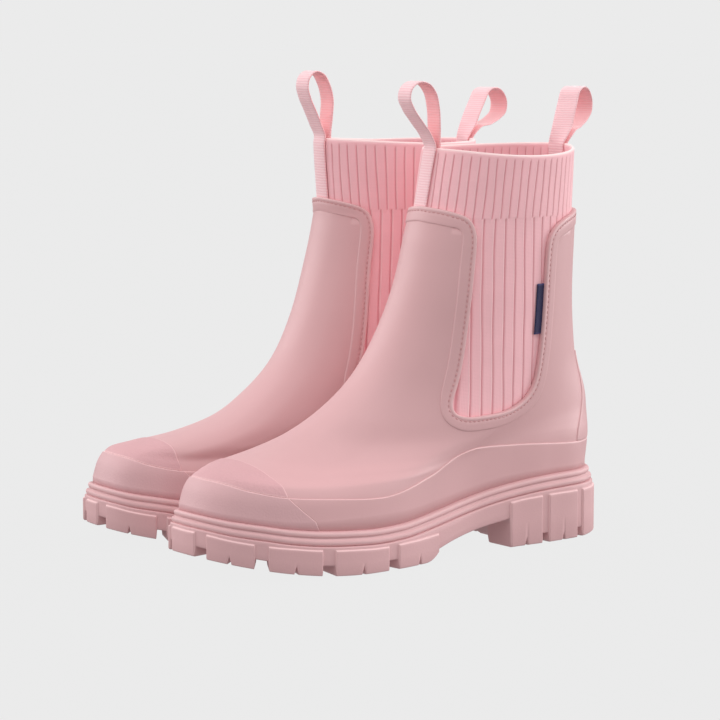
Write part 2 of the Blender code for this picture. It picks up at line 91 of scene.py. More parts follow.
def curve_value(knots, x):
    """Cubic curve through (x, y) knots whose slope at a knot is a weighted harmonic mean of the
    slopes beside it, so that it never overshoots."""
    xs, ys = (np.array(values, float) for values in zip(*knots))
    step = np.diff(xs)
    slope = np.diff(ys) / step
    lean = np.concatenate([slope[:1], np.zeros(len(xs) - 2), slope[-1:]])
    for i in range(1, len(xs) - 1):
        if slope[i - 1] * slope[i] > 0:
            before, after = 2 * step[i] + step[i - 1], step[i] + 2 * step[i - 1]
            lean[i] = (before + after) / (before / slope[i - 1] + after / slope[i])
    x = np.clip(np.asarray(x, float), xs[0], xs[-1])
    i = np.clip(np.searchsorted(xs, x) - 1, 0, len(xs) - 2)
    t = (x - xs[i]) / step[i]
    return cubic(t, step[i], ys[i], lean[i], ys[i + 1], lean[i + 1])


def smooth_path(points, closed=True, steps=30):
    """Smooth line through points: between two points a cubic whose end slopes are the slopes of the
    two spans beside it, each weighted by the other's length."""
    p = np.array(points, float)
    count = len(p)
    spans = count if closed else count - 1
    t = np.linspace(0, 1, steps, endpoint=False)[:, None]
    rows = []
    for i in range(spans):
        a, b = p[i], p[(i + 1) % count]
        before = p[i - 1] if closed or i > 0 else 2 * a - b
        after = p[(i + 2) % count] if closed or i + 2 < count else 2 * b - a
        gaps = [np.linalg.norm(d) for d in (a - before, b - a, after - b)]
        u = ((b - a) / gaps[1] * gaps[0] + (a - before) / gaps[0] * gaps[1]) / (gaps[0] + gaps[1])
        v = ((after - b) / gaps[2] * gaps[1] + (b - a) / gaps[1] * gaps[2]) / (gaps[1] + gaps[2])
        rows.append(cubic(t, gaps[1], a, u, b, v))
    if not closed:
        rows.append(p[-1:])
    return np.vstack(rows)


def run_along(line):
    """Length along a line of points, from 0 at its first point."""
    return np.concatenate([[0], np.cumsum(np.linalg.norm(np.diff(line, axis=0), axis=1))])


def points_at(places, run, line):
    """Points of a line at given lengths along it."""
    return np.stack([np.interp(places, run, column) for column in line.T], -1)


def sole_edges():
    """The sole's outline cut at toe and heel into its outer and its inner line, each with its length
    from the toe as 0 to 1."""
    line = smooth_path(OUTER_SIDE + INNER_SIDE)
    line = np.roll(line, -int(line[:, 1].argmin()), axis=0)
    heel = int(line[:, 1].argmax())
    edges = []
    for side in (line[:heel + 1], np.vstack([line[heel:], line[:1]])[::-1]):
        run = run_along(side)
        edges.append((run / run[-1], side))
    return edges


SOLE_EDGES = sole_edges()


def outline(s, inset=0.0):
    """Point (x, y) of the sole's outline at s, moved inwards, square to the outline, by inset."""
    def raw(s):
        s = np.mod(s, 2)
        (run_a, a), (run_b, b) = SOLE_EDGES
        outer = [np.interp(s, run_a, a[:, k]) for k in (0, 1)]
        inner = [np.interp(2 - s, run_b, b[:, k]) for k in (0, 1)]
        return [np.where(s <= 1, o, i) for o, i in zip(outer, inner)]
    s = np.asarray(s, float)
    x, y = raw(s)
    x1, y1 = raw(s + 0.004)
    x0, y0 = raw(s - 0.004)
    length = np.hypot(x1 - x0, y1 - y0)
    return x - (y1 - y0) / length * inset, y + (x1 - x0) / length * inset


def grid_quads(rows, cols, wrap_cols=False, wrap_rows=False):
    """Quads of a grid of points stored row by row; a wrap joins the last row or column to the first."""
    r = np.arange(rows if wrap_rows else rows - 1)[:, None]
    c = np.arange(cols if wrap_cols else cols - 1)[None]
    up, right = (r + 1) % rows, (c + 1) % cols
    return np.stack([r * cols + c, r * cols + right, up * cols + right, up * cols + c], -1).reshape(-1, 4)


def boot_piece(name, side, points, quads, material, second=None, second_faces=None, marks=None):
    """Mesh of one boot's piece.  The soft cuff is worn out of its oval: the left one's front is pushed
    back and its outer rim sags, the right one's front leans forward and stands higher.  A point is
    mirrored in X for the right boot, turned out about Z and moved to the boot's place; a quad with
    two equal corners becomes a triangle.  second is a material for the faces marked in
    second_faces, marks are values kept per point."""
    sign = 1 if side == "left" else -1
    turn = math.radians(TOE_OUT)
    p = np.array(points, float).reshape(-1, 3)
    front = np.clip((80.7 - p[:, 1]) / 54.5, 0, 1)
    if side == "left":
        p[:, 1] += 1.8 * front * np.clip((p[:, 2] - 178) / 22, 0, 1)
        p[:, 2] -= 4.5 * np.clip(p[:, 0] / 41, 0, 1) ** 2 * np.clip((p[:, 2] - 200) / 34, 0, 1)
    else:
        p[:, 1] -= (2.5 + 8.5 * front) * np.clip((p[:, 2] - 192) / 40, 0, 1)
        p[:, 2] += 3.0 * front * np.clip((p[:, 2] - 200) / 34, 0, 1)
    x = p[:, 0] * math.cos(turn) - p[:, 1] * math.sin(turn) + BOOT_X
    y = p[:, 0] * math.sin(turn) + p[:, 1] * math.cos(turn) + BOOT_Y[side]
    world = np.stack([sign * x, y, p[:, 2]], -1) * 0.001
    quads = quads if sign > 0 else quads[:, ::-1]
    kept = quads != np.roll(quads, -1, axis=1)
    kept &= (kept.sum(1) >= 3)[:, None]
    totals = kept.sum(1)
    mesh = bpy.data.meshes.new(side + "_" + name)
    mesh.vertices.add(len(world))
    mesh.vertices.foreach_set("co", world.ravel())
    mesh.loops.add(int(totals.sum()))
    mesh.loops.foreach_set("vertex_index", quads[kept].astype(np.int32))
    whole = totals > 0
    mesh.polygons.add(int(whole.sum()))
    starts = np.concatenate([[0], np.cumsum(totals[whole])[:-1]])
    mesh.polygons.foreach_set("loop_start", starts.astype(np.int32))
    mesh.polygons.foreach_set("use_smooth", np.ones(int(whole.sum()), bool))
    mesh.materials.append(material)
    if second is not None:
        mesh.materials.append(second)
        mesh.polygons.foreach_set("material_index", np.asarray(second_faces)[whole].astype(np.int32))
    for mark, values in (marks or {}).items():
        values = np.ascontiguousarray(values, np.float32)
        kind, field = ("FLOAT", "value") if values.ndim == 1 else ("FLOAT_VECTOR", "vector")
        mesh.attributes.new(mark, kind, "POINT").data.foreach_set(field, values.ravel())
    mesh.update(calc_edges=True)
    mesh.validate()
    piece = bpy.data.objects.new(side + "_" + name, mesh)
    bpy.context.collection.objects.link(piece)
    return piece


def set_on(piece, side, node):
    """The piece rides on its boot and stands in a frame node's place."""
    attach(piece, side + "_boot")
    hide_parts(side + "_" + node)
    return piece


def colour(r, g, b):
    """Linear colour from the 0 to 255 values of a colour chip."""
    chip = np.array([r, g, b]) / 255
    return (*np.where(chip <= 0.04045, chip / 12.92, ((chip + 0.055) / 1.055) ** 2.4), 1)


def add_node(tree, kind, inputs=None, **options):
    """New shader node with its options set; each input gets a value or a link from another's output."""
    node = tree.nodes.new("ShaderNode" + kind)
    for name, value in options.items():
        setattr(node, name, value)
    for name, value in (inputs or {}).items():
        if isinstance(value, bpy.types.NodeSocket):
            tree.links.new(value, node.inputs[name])
        else:
            node.inputs[name].default_value = value
    return node


def worked_out(tree, operation, *values):
    """Output of a math node over values or other outputs."""
    return add_node(tree, "Math", dict(enumerate(values)), operation=operation).outputs[0]


def spread(tree, source, low, high, start=0.0, end=1.0):
    """A value from start to end, spread evenly over low to high and held there beyond."""
    return add_node(tree, "MapRange", {"Value": source, "From Min": start, "From Max": end, "To Min": low,
                                       "To Max": high}).outputs["Result"]


def noise(tree, vector, scale, detail=2.0):
    """Value of a noise texture at a place."""
    return add_node(tree, "TexNoise", {"Vector": vector, "Scale": scale, "Detail": detail}).outputs["Fac"]


def mark_of(tree, name, output="Fac"):
    """A mesh's own mark, as a value or as a vector."""
    return add_node(tree, "Attribute", attribute_name=name).outputs[output]


def colour_mix(tree, share, first, second):
    """From the first colour to the second by a share."""
    return add_node(tree, "Mix", {"Factor": share, "A": first, "B": second},
                    data_type="RGBA").outputs["Result"]


def shaded(tree, tint, value):
    """A colour made darker or lighter by a value."""
    return add_node(tree, "VectorMath", {0: tint, "Scale": value}, operation="SCALE").outputs[0]


def bumped(tree, height, strength, distance, under=None):
    """Normal of a bump, over another normal if one is given."""
    inputs = {"Height": height, "Strength": strength, "Distance": distance}
    return add_node(tree, "Bump", inputs if under is None else {**inputs, "Normal": under}).outputs["Normal"]


def group_with(name, inputs):
    """Shader group with an input for each colour or number, and outputs for colour, roughness and
    normal; returns it and its inputs."""
    group = bpy.data.node_groups.new(name, "ShaderNodeTree")
    for label, value in inputs.items():
        kind = "NodeSocketFloat" if isinstance(value, float) else "NodeSocketColor"
        group.interface.new_socket(label, in_out="INPUT", socket_type=kind).default_value = value
    for label, kind in (("Colour", "Color"), ("Roughness", "Float"), ("Normal", "Vector")):
        group.interface.new_socket(label, in_out="OUTPUT", socket_type="NodeSocket" + kind)
    return group, group.nodes.new("NodeGroupInput").outputs


def give_out(group, tint, roughness, normal):
    """Links the three results to the group's output."""
    out = group.nodes.new("NodeGroupOutput")
    for name, source in (("Colour", tint), ("Roughness", roughness), ("Normal", normal)):
        group.links.new(source, out.inputs[name])
    return group


WHITE = (1, 1, 1, 1)


def moulded_rubber_group():
    """Skin of moulded rubber: broad cloudiness and fine speckle in the colour, a painted highlight paler
    where the mesh's own edge mark is high, uneven gloss, and a fine grain over a slight orange peel."""
    group, given = group_with("moulded_rubber_skin", {
        "Colour": WHITE, "Edge colour": WHITE, "Cloudiness": 0.06, "Grain per metre": 1400.0,
        "Grain depth": 0.05, "Gloss": 0.5})
    place = add_node(group, "TexCoord").outputs["Object"]
    cloud = noise(group, place, 22, 3)
    grain = noise(group, place, given["Grain per metre"])
    peel = noise(group, place, 160)
    both = worked_out(group, "MULTIPLY_ADD", grain, 0.35, cloud)
    lowest = worked_out(group, "SUBTRACT", 1, given["Cloudiness"])
    tint = shaded(group, given["Colour"], spread(group, both, lowest, 1.0, 0.35))
    # Painted highlight: the colour turns to the edge colour where the mesh's edge mark is high.
    tint = colour_mix(group, mark_of(group, "edge"), tint, given["Edge colour"])
    gloss = worked_out(group, "ADD", spread(group, peel, -0.07, 0.07), given["Gloss"])
    fine = bumped(group, grain, given["Grain depth"], 0.0005)
    return give_out(group, tint, gloss, bumped(group, peel, 0.03, 0.001, under=fine))


RUBBER_SKIN = moulded_rubber_group()


def finish_with(name, group, values, sheen=0.0, specular=0.5):
    """Material whose colour, roughness and normal come from a group with the given values."""
    material = bpy.data.materials.new(name)
    material.use_nodes = True
    nodes, links = material.node_tree.nodes, material.node_tree.links
    shader = nodes["Principled BSDF"]
    shader.inputs["Sheen Weight"].default_value = sheen
    shader.inputs["Specular IOR Level"].default_value = specular
    skin = nodes.new("ShaderNodeGroup")
    skin.node_tree = group
    for label, value in values.items():
        skin.inputs[label].default_value = value
    links.new(skin.outputs["Colour"], shader.inputs["Base Color"])
    links.new(skin.outputs["Roughness"], shader.inputs["Roughness"])
    links.new(skin.outputs["Normal"], shader.inputs["Normal"])
    return material


# Painted highlight colour for the raised edges of the rubber pieces, laid on through their edge mark.
BLUSH_EDGE_HIGHLIGHT = colour(250, 214, 214)
SOLE_RUBBER = finish_with("sole_rubber", RUBBER_SKIN, {
    "Colour": colour(220, 174, 176), "Edge colour": BLUSH_EDGE_HIGHLIGHT, "Cloudiness": 0.07,
    "Grain per metre": 900.0, "Grain depth": 0.10, "Gloss": 0.56}, specular=0.35)


def inner_partner(s):
    """The s on the inner side that has the same Y as s on the outer side."""
    (run_a, a), (run_b, b) = SOLE_EDGES
    return 2 - np.interp(np.interp(s, run_a, a[:, 1]), b[:, 1], run_b)


def close_ring(points, base, count, half, steps, shape):
    """Closes the ring of points that starts at base by rows of points from its outer to its inner
    half.  shape(rows, share across) changes the new points' heights.  Returns points and quads."""
    across = np.linspace(0, 1, steps)[None, 1:-1]
    outer_row = base + np.arange(half)
    inner_row = base + np.concatenate([[0], count - np.arange(1, half - 1), [half - 1]])
    a, b = points[outer_row[1:-1]][:, None], points[inner_row[1:-1]][:, None]
    rows = a + (b - a) * across[..., None]
    shape(rows, across)
    table = np.empty((half, steps), int)
    table[:] = outer_row[:, None]
    table[1:-1, 1:-1] = len(points) + np.arange(rows.shape[0] * rows.shape[1]).reshape(rows.shape[:2])
    table[:, -1] = inner_row
    return np.vstack([points, rows.reshape(-1, 3)]), table.ravel()[grid_quads(half, steps)]


def tread_pattern(rows, across):
    """Presses the bottom's chevrons up between the lugs and lets the shank show in the waist."""
    x, y = rows[..., 0] - 1, rows[..., 1]
    rib = 0.5 + 0.5 * np.cos((y + 0.42 * np.abs(x)) * 2 * np.pi / 17)
    rib = np.clip((rib - 0.45) * 5, 0, 1)
    room = np.clip(np.minimum(across, 1 - across) * 12 - 0.6, 0, 1)
    waist = np.clip((y + 6) / 3, 0, 1) * np.clip((62 - y) / 3, 0, 1)
    shank = np.clip(1.4 - np.hypot(x / 17, (y - 27) / 21) * 1.4, 0, 0.3) / 0.3
    rows[..., 2] += waist * 0.9 * shank - rib * room * (1 - waist) * (GROOVE - 1.5) * 0.75


def tread_sole(side):
    """Rings of points round the sole, from the inner edge of the lugs over their feet and up the side
    wall.  In a lug the ring stands proud and reaches the ground; between lugs it steps back by
    LUG_PROUD and up by GROOVE.  Each lug has a nick that rises as a triangle at its middle.  The
    right sole's first inner gap lies nearer to the toe.  The bottom and the top are closed by rows
    of points between the two sides."""
    mm_per_s = 345.0
    ramp, nick = 0.4 / mm_per_s, 1.3 / mm_per_s
    (run_a, a), (run_b, b) = SOLE_EDGES
    blocks = []
    for lugs, run, edge in ((OUTER_LUGS, run_a, a), (INNER_LUGS, run_b, b)):
        ends = np.interp(np.array(lugs), edge[:, 1], run)
        if side == "right" and lugs is INNER_LUGS:
            ends[0, 1], ends[1, 0] = 0.017, 0.043
        ends[0, 0], ends[-1, 1] = -0.1, 1.1
        blocks.append(ends)
    inner_on_outer = np.interp(np.interp(blocks[1], run_b, b[:, 1]), a[:, 1], run_a)
    inner_on_outer[0, 0], inner_on_outer[-1, 1] = -0.1, 1.1
    lines = [np.linspace(0, 1, 330)]
    for ends in (blocks[0], inner_on_outer):
        middles = ends.mean(1)[1:-1]
        lines += [ends.ravel() + d * ramp for d in (-1, -0.45, 0, 0.45, 1)]
        lines += [middles + d * nick for d in (-1, -0.5, 0, 0.5, 1)]
    outer_s = np.concatenate(lines)
    outer_s = np.unique(np.round(outer_s[(outer_s >= 0) & (outer_s <= 1)], 5))
    s = np.concatenate([outer_s, inner_partner(outer_s[-2:0:-1])])
    def block_marks(own, ends):
        into = (np.clip((own - ends[:, 0]) / ramp / 2 + 0.5, 0, 1)
                * np.clip((ends[:, 1] - own) / ramp / 2 + 0.5, 0, 1))
        middles = ends.mean(1)[1:-1]
        return ((into * into * (3 - 2 * into)).max(1),
                4.5 * np.clip(1 - np.abs(own - middles) / nick, 0, 1).max(1))
    marks = [block_marks(outer_s[:, None], blocks[0]),
             block_marks(outer_s[-2:0:-1, None], inner_on_outer)]
    lug, cut = (np.concatenate(pair) for pair in zip(*marks))
    y = outline(s)[1]
    ground = 0.0016 * np.maximum(0, -55 - y) ** 2
    ground += np.where(y < 20, 5 * np.clip((y + 15) / 12.2, 0, 1) ** 2.5, 0)
    floor = np.where((y > -2.8) & (y < 56), curve_value(WAIST_LINE, y), ground + GROOVE)
    foot = floor + (ground - floor) * lug
    top = curve_value(CORD_LINE, y) - WELT_HALF + 0.2
    crown = np.minimum(curve_value(LUG_TOP_LINE, y), top - 1.7)
    back = LUG_PROUD * (1 - lug) - SOLE_MARGIN
    wall_in = LUG_PROUD - SOLE_MARGIN
    rise = crown - foot - 3
    rings = [(LUG_DEPTH + 1.2, floor), (LUG_DEPTH + 0.3, foot + 0.5), (LUG_DEPTH - 0.5, foot),
             (LUG_DEPTH - 4, foot), (7, foot + cut * 0.05), (back + 3.2, foot + cut * 0.6),
             (back + 1.5, foot + cut * 0.9), (back + 0.6, foot + 0.1 + cut), (back + 0.2, foot + 0.45 + cut),
             (back, foot + 1.0 + cut), (back, foot + 1 + 0.52 * rise), (back, foot + 1 + 0.75 * rise),
             (back, crown - 2.0), (back, crown - 0.9), (back + 0.2 * lug, crown - 0.4),
             (back + 0.65 * lug, crown - 0.1), (wall_in, crown + 0.1), (wall_in, crown + 0.6),
             (wall_in, top - 0.6), (wall_in + 0.4, top), (9, top)]
    points = np.array([np.stack([*outline(s, inset), height], -1) for inset, height in rings])
    count = len(s)
    # Painted highlight along the lugs' sides and top bevels, carried in the edge mark.
    lug_edge_highlight = np.zeros((len(rings), count))
    lug_edge_highlight[8:14] = 1.6 * lug * (1 - lug)
    lug_edge_highlight[8] += 0.15 * lug
    lug_edge_highlight[14:16] = 0.55 * lug
    half = len(outer_s)
    quads = [grid_quads(len(rings), count, wrap_cols=True)]
    points, lug_edge_highlight = points.reshape(-1, 3), lug_edge_highlight.ravel()
    points, bottom = close_ring(points, 0, count, half, 41, tread_pattern)
    points, top = close_ring(points, (len(rings) - 1) * count, count, half, 41, lambda rows, across: None)
    quads += [bottom, top[:, ::-1]]
    lug_edge_highlight = np.concatenate([lug_edge_highlight, np.zeros(len(points) - len(lug_edge_highlight))])
    return boot_piece("tread_sole", side, points, np.vstack(quads), SOLE_RUBBER, marks={"edge": lug_edge_highlight})


for side in SIDES:
    set_on(tread_sole(side), side, "outsole")


# ---------------------------------------------------------------- the welt
# Two round cords of the same rubber, one above the other, run all round the top of the sole.
# They are moulded with it and cover the joint between sole and upper.


def cord_arc(inset, rise, radius, start, end, steps):
    """Points (inset, rise) of a circle's arc, from one angle to another in degrees."""
    angle = np.radians(np.linspace(start, end, steps))
    return np.stack([inset - radius * np.cos(angle), rise + radius * np.sin(angle)], -1)


def welt_cords(side):
    """The profile of the two cords, closed at the back, carried round the sole's outline along the
    welt line."""
    profile = np.vstack([[(8.4, -4.7), (4.6, -4.7)], cord_arc(2.9, -2.45, 2.1, -88, 60, 14),
                         cord_arc(4.1, 1.75, 1.9, -60, 88, 13), [(6.2, 3.9), (8.4, 3.8)]])
    s = np.linspace(0, 2, 560, endpoint=False)
    rows = [np.stack([*(o := outline(s, inset)), curve_value(CORD_LINE, o[1]) + rise], -1)
            for inset, rise in profile]
    # Painted highlights along the tops of both cords, carried in the edge mark.
    light = np.zeros((len(profile), len(s)))
    light[6:12] = 0.10
    light[19:25] = 0.18
    quads = grid_quads(len(profile), len(s), wrap_cols=True, wrap_rows=True)
    return boot_piece("welt_cords", side, rows, quads, SOLE_RUBBER, marks={"edge": light.ravel()})


for side in SIDES:
    set_on(welt_cords(side), side, "welt")


# ---------------------------------------------------------------- the rubber upper
# A seamless shell moulded over the last: vamp, quarters and back in one skin, open at both sides
# for the knit.  Its top edge is bound by the topline border below.

FEATHER_INSET = 6.0
CUFF_HEIGHT, CUFF_SAG = 234.5, 1.0
CUFF_Y, CUFF_HALF_LENGTH, CUFF_HALF_WIDTH = 80.7, 54.5, 41.0
GIRTH = 155.0
RUBBER = 2.2
Q = [0, 0.1, 0.2, 0.3, 0.4, 0.5, 0.6, 0.7, 0.8, 0.9, 1]
FRONT_IN = [0, 0.02, 0.06, 0.14, 0.29, 0.46, 0.60, 0.73, 0.83, 0.915, 1]
FRONT_UP = [0, 0.048, 0.085, 0.105, 0.128, 0.168, 0.233, 0.328, 0.464, 0.659, 1]
SIDE_IN = [0, 0.015, 0.045, 0.10, 0.23, 0.41, 0.565, 0.71, 0.82, 0.91, 1]
SIDE_UP = [0, 0.05, 0.085, 0.108, 0.135, 0.175, 0.238, 0.33, 0.464, 0.659, 1]
DOME = [0, 0.02, 0.08, 0.16, 0.18, 0.15, 0.11, 0.07, 0.03, 0, 0]
VAMP_LEAN = [0, 0, 0, 5, 9, 10, 8, 6, 3, 0, 0]
BACK_HOLLOW = [(40, 0), (60, 3), (80, 4), (110, -4), (150, -7.5), (190, -6), (234.5, -4)]
TOPLINE = [(0, 200.5, 0), (20, 199, 10), (42, 193, 18), (43, 150, 90), (54.5, 78.5, 15),
           (97.5, 80.5, 18), (86.5, 165, 60), (87.5, 188.5, 19), (120, 196, 14), (155, 196.5, 0)]

BOOT_RUBBER = finish_with("boot_rubber", RUBBER_SKIN, {
    "Colour": colour(218, 171, 173), "Edge colour": BLUSH_EDGE_HIGHLIGHT, "Cloudiness": 0.05,
    "Grain per metre": 1500.0, "Grain depth": 0.05, "Gloss": 0.46}, specular=0.4)


def wall(s, q):
    """The boot's outer surface: a point of the sole's outline and the point of the cuff's oval at the
    same s, blended in plan and in height by shares that depend on q, domed over the ball of the
    foot, leaned to the inner side over the vamp, and hollowed at the back."""
    s, q = np.broadcast_arrays(np.asarray(s, float), np.asarray(q, float))
    base_x, base_y = outline(s, FEATHER_INSET)
    base_z = curve_value(WELT_LINE, base_y) + WELT_HALF + 0.7
    angle = math.pi * s
    cuff_x = CUFF_HALF_WIDTH * np.sin(angle)
    cuff_y = CUFF_Y - CUFF_HALF_LENGTH * np.cos(angle)
    cuff_z = CUFF_HEIGHT - CUFF_SAG * np.sin(angle) ** 2
    front = np.clip((np.cos(angle) + 0.2) / 1.2, 0, 1)
    shares = [curve_value(zip(Q, knots), q) for knots in (FRONT_IN, SIDE_IN, FRONT_UP, SIDE_UP)]
    inwards = front * shares[0] + (1 - front) * shares[1]
    upwards = front * shares[2] + (1 - front) * shares[3]
    x = base_x + (cuff_x - base_x) * inwards
    y = base_y + (cuff_y - base_y) * inwards
    z = base_z + (cuff_z - base_z) * upwards
    ball = np.exp(-((np.minimum(np.mod(s, 2), 2 - np.mod(s, 2)) - 0.25) / 0.16) ** 2)
    x = x * (1 - curve_value(zip(Q, DOME), q) * ball)
    x = x - curve_value(zip(Q, VAMP_LEAN), q) * front
    y = y + np.clip(-np.cos(angle), 0, 1) ** 2 * curve_value(BACK_HOLLOW, z)
    return np.stack([x, y, z], -1)


def wall_normal(s, q):
    """Cross product of the wall's slopes along s and along q, as a unit vector."""
    s, q = np.broadcast_arrays(np.asarray(s, float), np.asarray(q, float))
    e = 0.004
    along = wall(s + e, q) - wall(s - e, q)
    up = wall(s, np.minimum(q + e, 1)) - wall(s, np.maximum(q - e, 0))
    n = np.cross(along, up)
    return n / np.linalg.norm(n, axis=-1, keepdims=True)


def skin(s, q, lift):
    """The wall moved outwards along its normal by lift."""
    return wall(s, q) + wall_normal(s, q) * np.asarray(lift)[..., None]


def q_at(s, value, axis=2):
    """The q where the wall reaches a height (axis 2) or a Y (axis 1) at s, by halving."""
    s, value = np.broadcast_arrays(np.asarray(s, float), np.asarray(value, float))
    low, high = np.zeros(s.shape), np.ones(s.shape)
    for _ in range(20):
        middle = (low + high) / 2
        under = wall(s, middle)[..., axis] < value
        low, high = np.where(under, middle, low), np.where(under, high, middle)
    return (low + high) / 2


def rounded_line(corners, step):
    """A line through (x, y, radius) corners, each replaced by a parabola that starts and ends one
    radius away from it, as points one step apart."""
    points = [np.array(corners[0][:2], float)]
    for before, corner, after in zip(corners, corners[1:], corners[2:]):
        c = np.array(corner[:2], float)
        arms = [np.array(other[:2], float) - c for other in (before, after)]
        reach = [min(corner[2], np.linalg.norm(arm) * 0.48) for arm in arms]
        a, b = (c + arm / np.linalg.norm(arm) * r for arm, r in zip(arms, reach))
        t = np.linspace(0, 1, 12)[:, None]
        points.extend((1 - t) ** 2 * a + 2 * t * (1 - t) * c + t**2 * b)
    points = np.array(points + [np.array(corners[-1][:2], float)])
    run = run_along(points)
    line = points_at(np.linspace(0, run[-1], int(run[-1] / step) + 1), run, points)
    for _ in range(int(round(6 / step))):
        line[1:-1] = line[1:-1] * 0.5 + (line[:-2] + line[2:]) * 0.25
    return line


def topline(step):
    """The rubber's top edge all round, as s and z, from the toe over the outer side."""
    half = rounded_line(TOPLINE, step)
    s = np.concatenate([half[:, 0] / GIRTH, 2 - half[-2:0:-1, 0] / GIRTH])
    return s, np.concatenate([half[:, 1], half[-2:0:-1, 1]])


def below_topline(s, z, margin):
    """True where a point lies in the rubber, at least margin from its top edge: inside the closed
    curve of the edge by the crossing rule, and far enough from each point of it."""
    half = rounded_line(TOPLINE, 1.5)
    girth = np.minimum(1 - np.abs(np.mod(s, 2) - 1), 0.9999) * GIRTH
    x1, z1, x2, z2 = half[:-1, 0], half[:-1, 1], half[1:, 0], half[1:, 1]
    g, h = girth.ravel()[:, None], z.ravel()[:, None]
    spans = (x1 <= g) != (x2 <= g)
    share = np.where(spans, (g - x1) / np.where(x2 == x1, 1, x2 - x1), 0)
    crossings = (spans & (z1 + (z2 - z1) * share > h)).sum(1)
    near = ((half[None, :, 0] - g) ** 2 + (half[None, :, 1] - h) ** 2).min(1)
    return ((crossings % 2 == 1) & (near > margin**2)).reshape(s.shape)


def upper_shell(side):
    """Outer and inner skins on one grid of s and q.  Cells above the topline are left out, and the
    two skins are joined along every free edge."""
    cols = 330
    s = np.linspace(0, 2, cols, endpoint=False)[None]
    q = np.concatenate([np.linspace(0, 0.5, 44)[:-1], np.linspace(0.5, 0.975, 66)])[:, None]
    outer, inner = skin(s, q, 0.0), skin(s, q, -RUBBER)
    for face in (outer, inner):
        face[0, :, 2] = curve_value(CORD_LINE, face[0, :, 1]) + 2.5
    rows = len(q)
    ss, zz = np.broadcast_arrays(s, outer[..., 2])[0], outer[..., 2]
    inside = below_topline(ss, zz, 2.5)
    cell = inside[:-1] & inside[1:]
    cell &= np.roll(cell, -1, axis=1)
    quads = grid_quads(rows, cols, wrap_cols=True)
    keep = cell.ravel()
    size = rows * cols
    faces = [quads[keep], quads[keep][:, ::-1] + size]
    sides = np.concatenate([quads[keep][:, [k, (k + 1) % 4]] for k in range(4)])
    code = sides[:, 0].astype(np.int64) * size + sides[:, 1]
    back = sides[:, 1].astype(np.int64) * size + sides[:, 0]
    free = sides[~np.isin(code, back)]
    faces.append(np.stack([free[:, 1], free[:, 0], free[:, 0] + size, free[:, 1] + size], -1))
    faces = np.vstack(faces)
    points = np.concatenate([outer.reshape(-1, 3), inner.reshape(-1, 3)])
    used = np.unique(faces)
    index = np.full(len(points), -1)
    index[used] = np.arange(len(used))
    return boot_piece("upper_shell", side, points[used], index[faces], BOOT_RUBBER,
                      marks={"edge": np.zeros(len(used))})


for side in SIDES:
    set_on(upper_shell(side), side, "upper")


# ---------------------------------------------------------------- the topline border
# A raised border of the same rubber, 9 mm wide, follows the upper's top edge and both gores and
# is rolled over the edge.  The knit is stitched in through a shallow channel near its lip.

BORDER = np.array([(9.0, -0.35), (8.8, 0.05), (8.55, 0.34), (8.2, 0.52), (7.7, 0.6), (6.6, 0.62),
                   (5.0, 0.64), (3.6, 0.66), (3.1, 0.55), (2.75, 0.42), (2.4, 0.38), (2.05, 0.42),
                   (1.7, 0.55), (1.25, 0.68), (0.6, 0.7), (0.15, 0.55), (-0.15, 0.2), (-0.3, -0.4),
                   (-0.3, -1.5), (-0.15, -2.1), (0.1, -2.4), (0.8, -2.5), (1.6, -2.35), (2.2, -1.6),
                   (6.0, -1.2)])
BORDER_STEP = 1.6


def surface_steps(s, q, move):
    """Steps in s and q that move a wall point by a vector: the vector's share along the wall's two
    slopes by least squares, walked in four parts."""
    s0, q0 = s.copy(), q.copy()
    for _ in range(4):
        e = 0.003
        ds = (wall(s + e, q) - wall(s - e, q)) / (2 * e)
        dq = (wall(s, q + e) - wall(s, q - e)) / (2 * e)
        a, b, c = (ds * ds).sum(-1), (ds * dq).sum(-1), (dq * dq).sum(-1)
        u, v = (ds * move).sum(-1) / 4, (dq * move).sum(-1) / 4
        s = s + (c * u - b * v) / (a * c - b * b)
        q = q + (a * v - b * u) / (a * c - b * b)
    return s - s0, q - q0


def topline_frame(step):
    """Along the topline: s, q, and the unit vector that points into the rubber along the wall."""
    s, z = topline(step)
    q = q_at(s, z)
    edge, normal = wall(s, q), wall_normal(s, q)
    forward = np.roll(edge, -1, axis=0) - np.roll(edge, 1, axis=0)
    down = -np.cross(normal, forward)
    return s, q, down / np.linalg.norm(down, axis=-1, keepdims=True)


def topline_border(side):
    """The border's closed profile, (distance into the rubber, lift), carried along the topline."""
    s, q, down = topline_frame(BORDER_STEP)
    rows = []
    for across, lift in BORDER:
        ds, dq = surface_steps(s, q, down * across)
        for _ in range(int(0.6 * across * across)):
            ds, dq = (d * 0.5 + (np.roll(d, 1) + np.roll(d, -1)) * 0.25 for d in (ds, dq))
        rows.append(skin(s + ds, q + dq, lift))
    # Painted highlights on the border's outer shoulder and on its rolled lip, carried in the edge mark.
    light = np.zeros((len(BORDER), len(s)))
    light[2:4] = 0.15
    light[13:16] = 0.22
    quads = grid_quads(len(BORDER), len(s), wrap_cols=True, wrap_rows=True)
    return boot_piece("topline_border", side, rows, quads, BOOT_RUBBER, marks={"edge": light.ravel()})


for side in SIDES:
    set_on(topline_border(side), side, "topline_band")


# ---------------------------------------------------------------- the gore stitching
# A single row of lockstitch in thick thread, sunk in the border's channel, 2.6 mm from the lip.
# Each stitch is a short bead that dips into the rubber at both ends.

STITCH_PITCH = 3.1


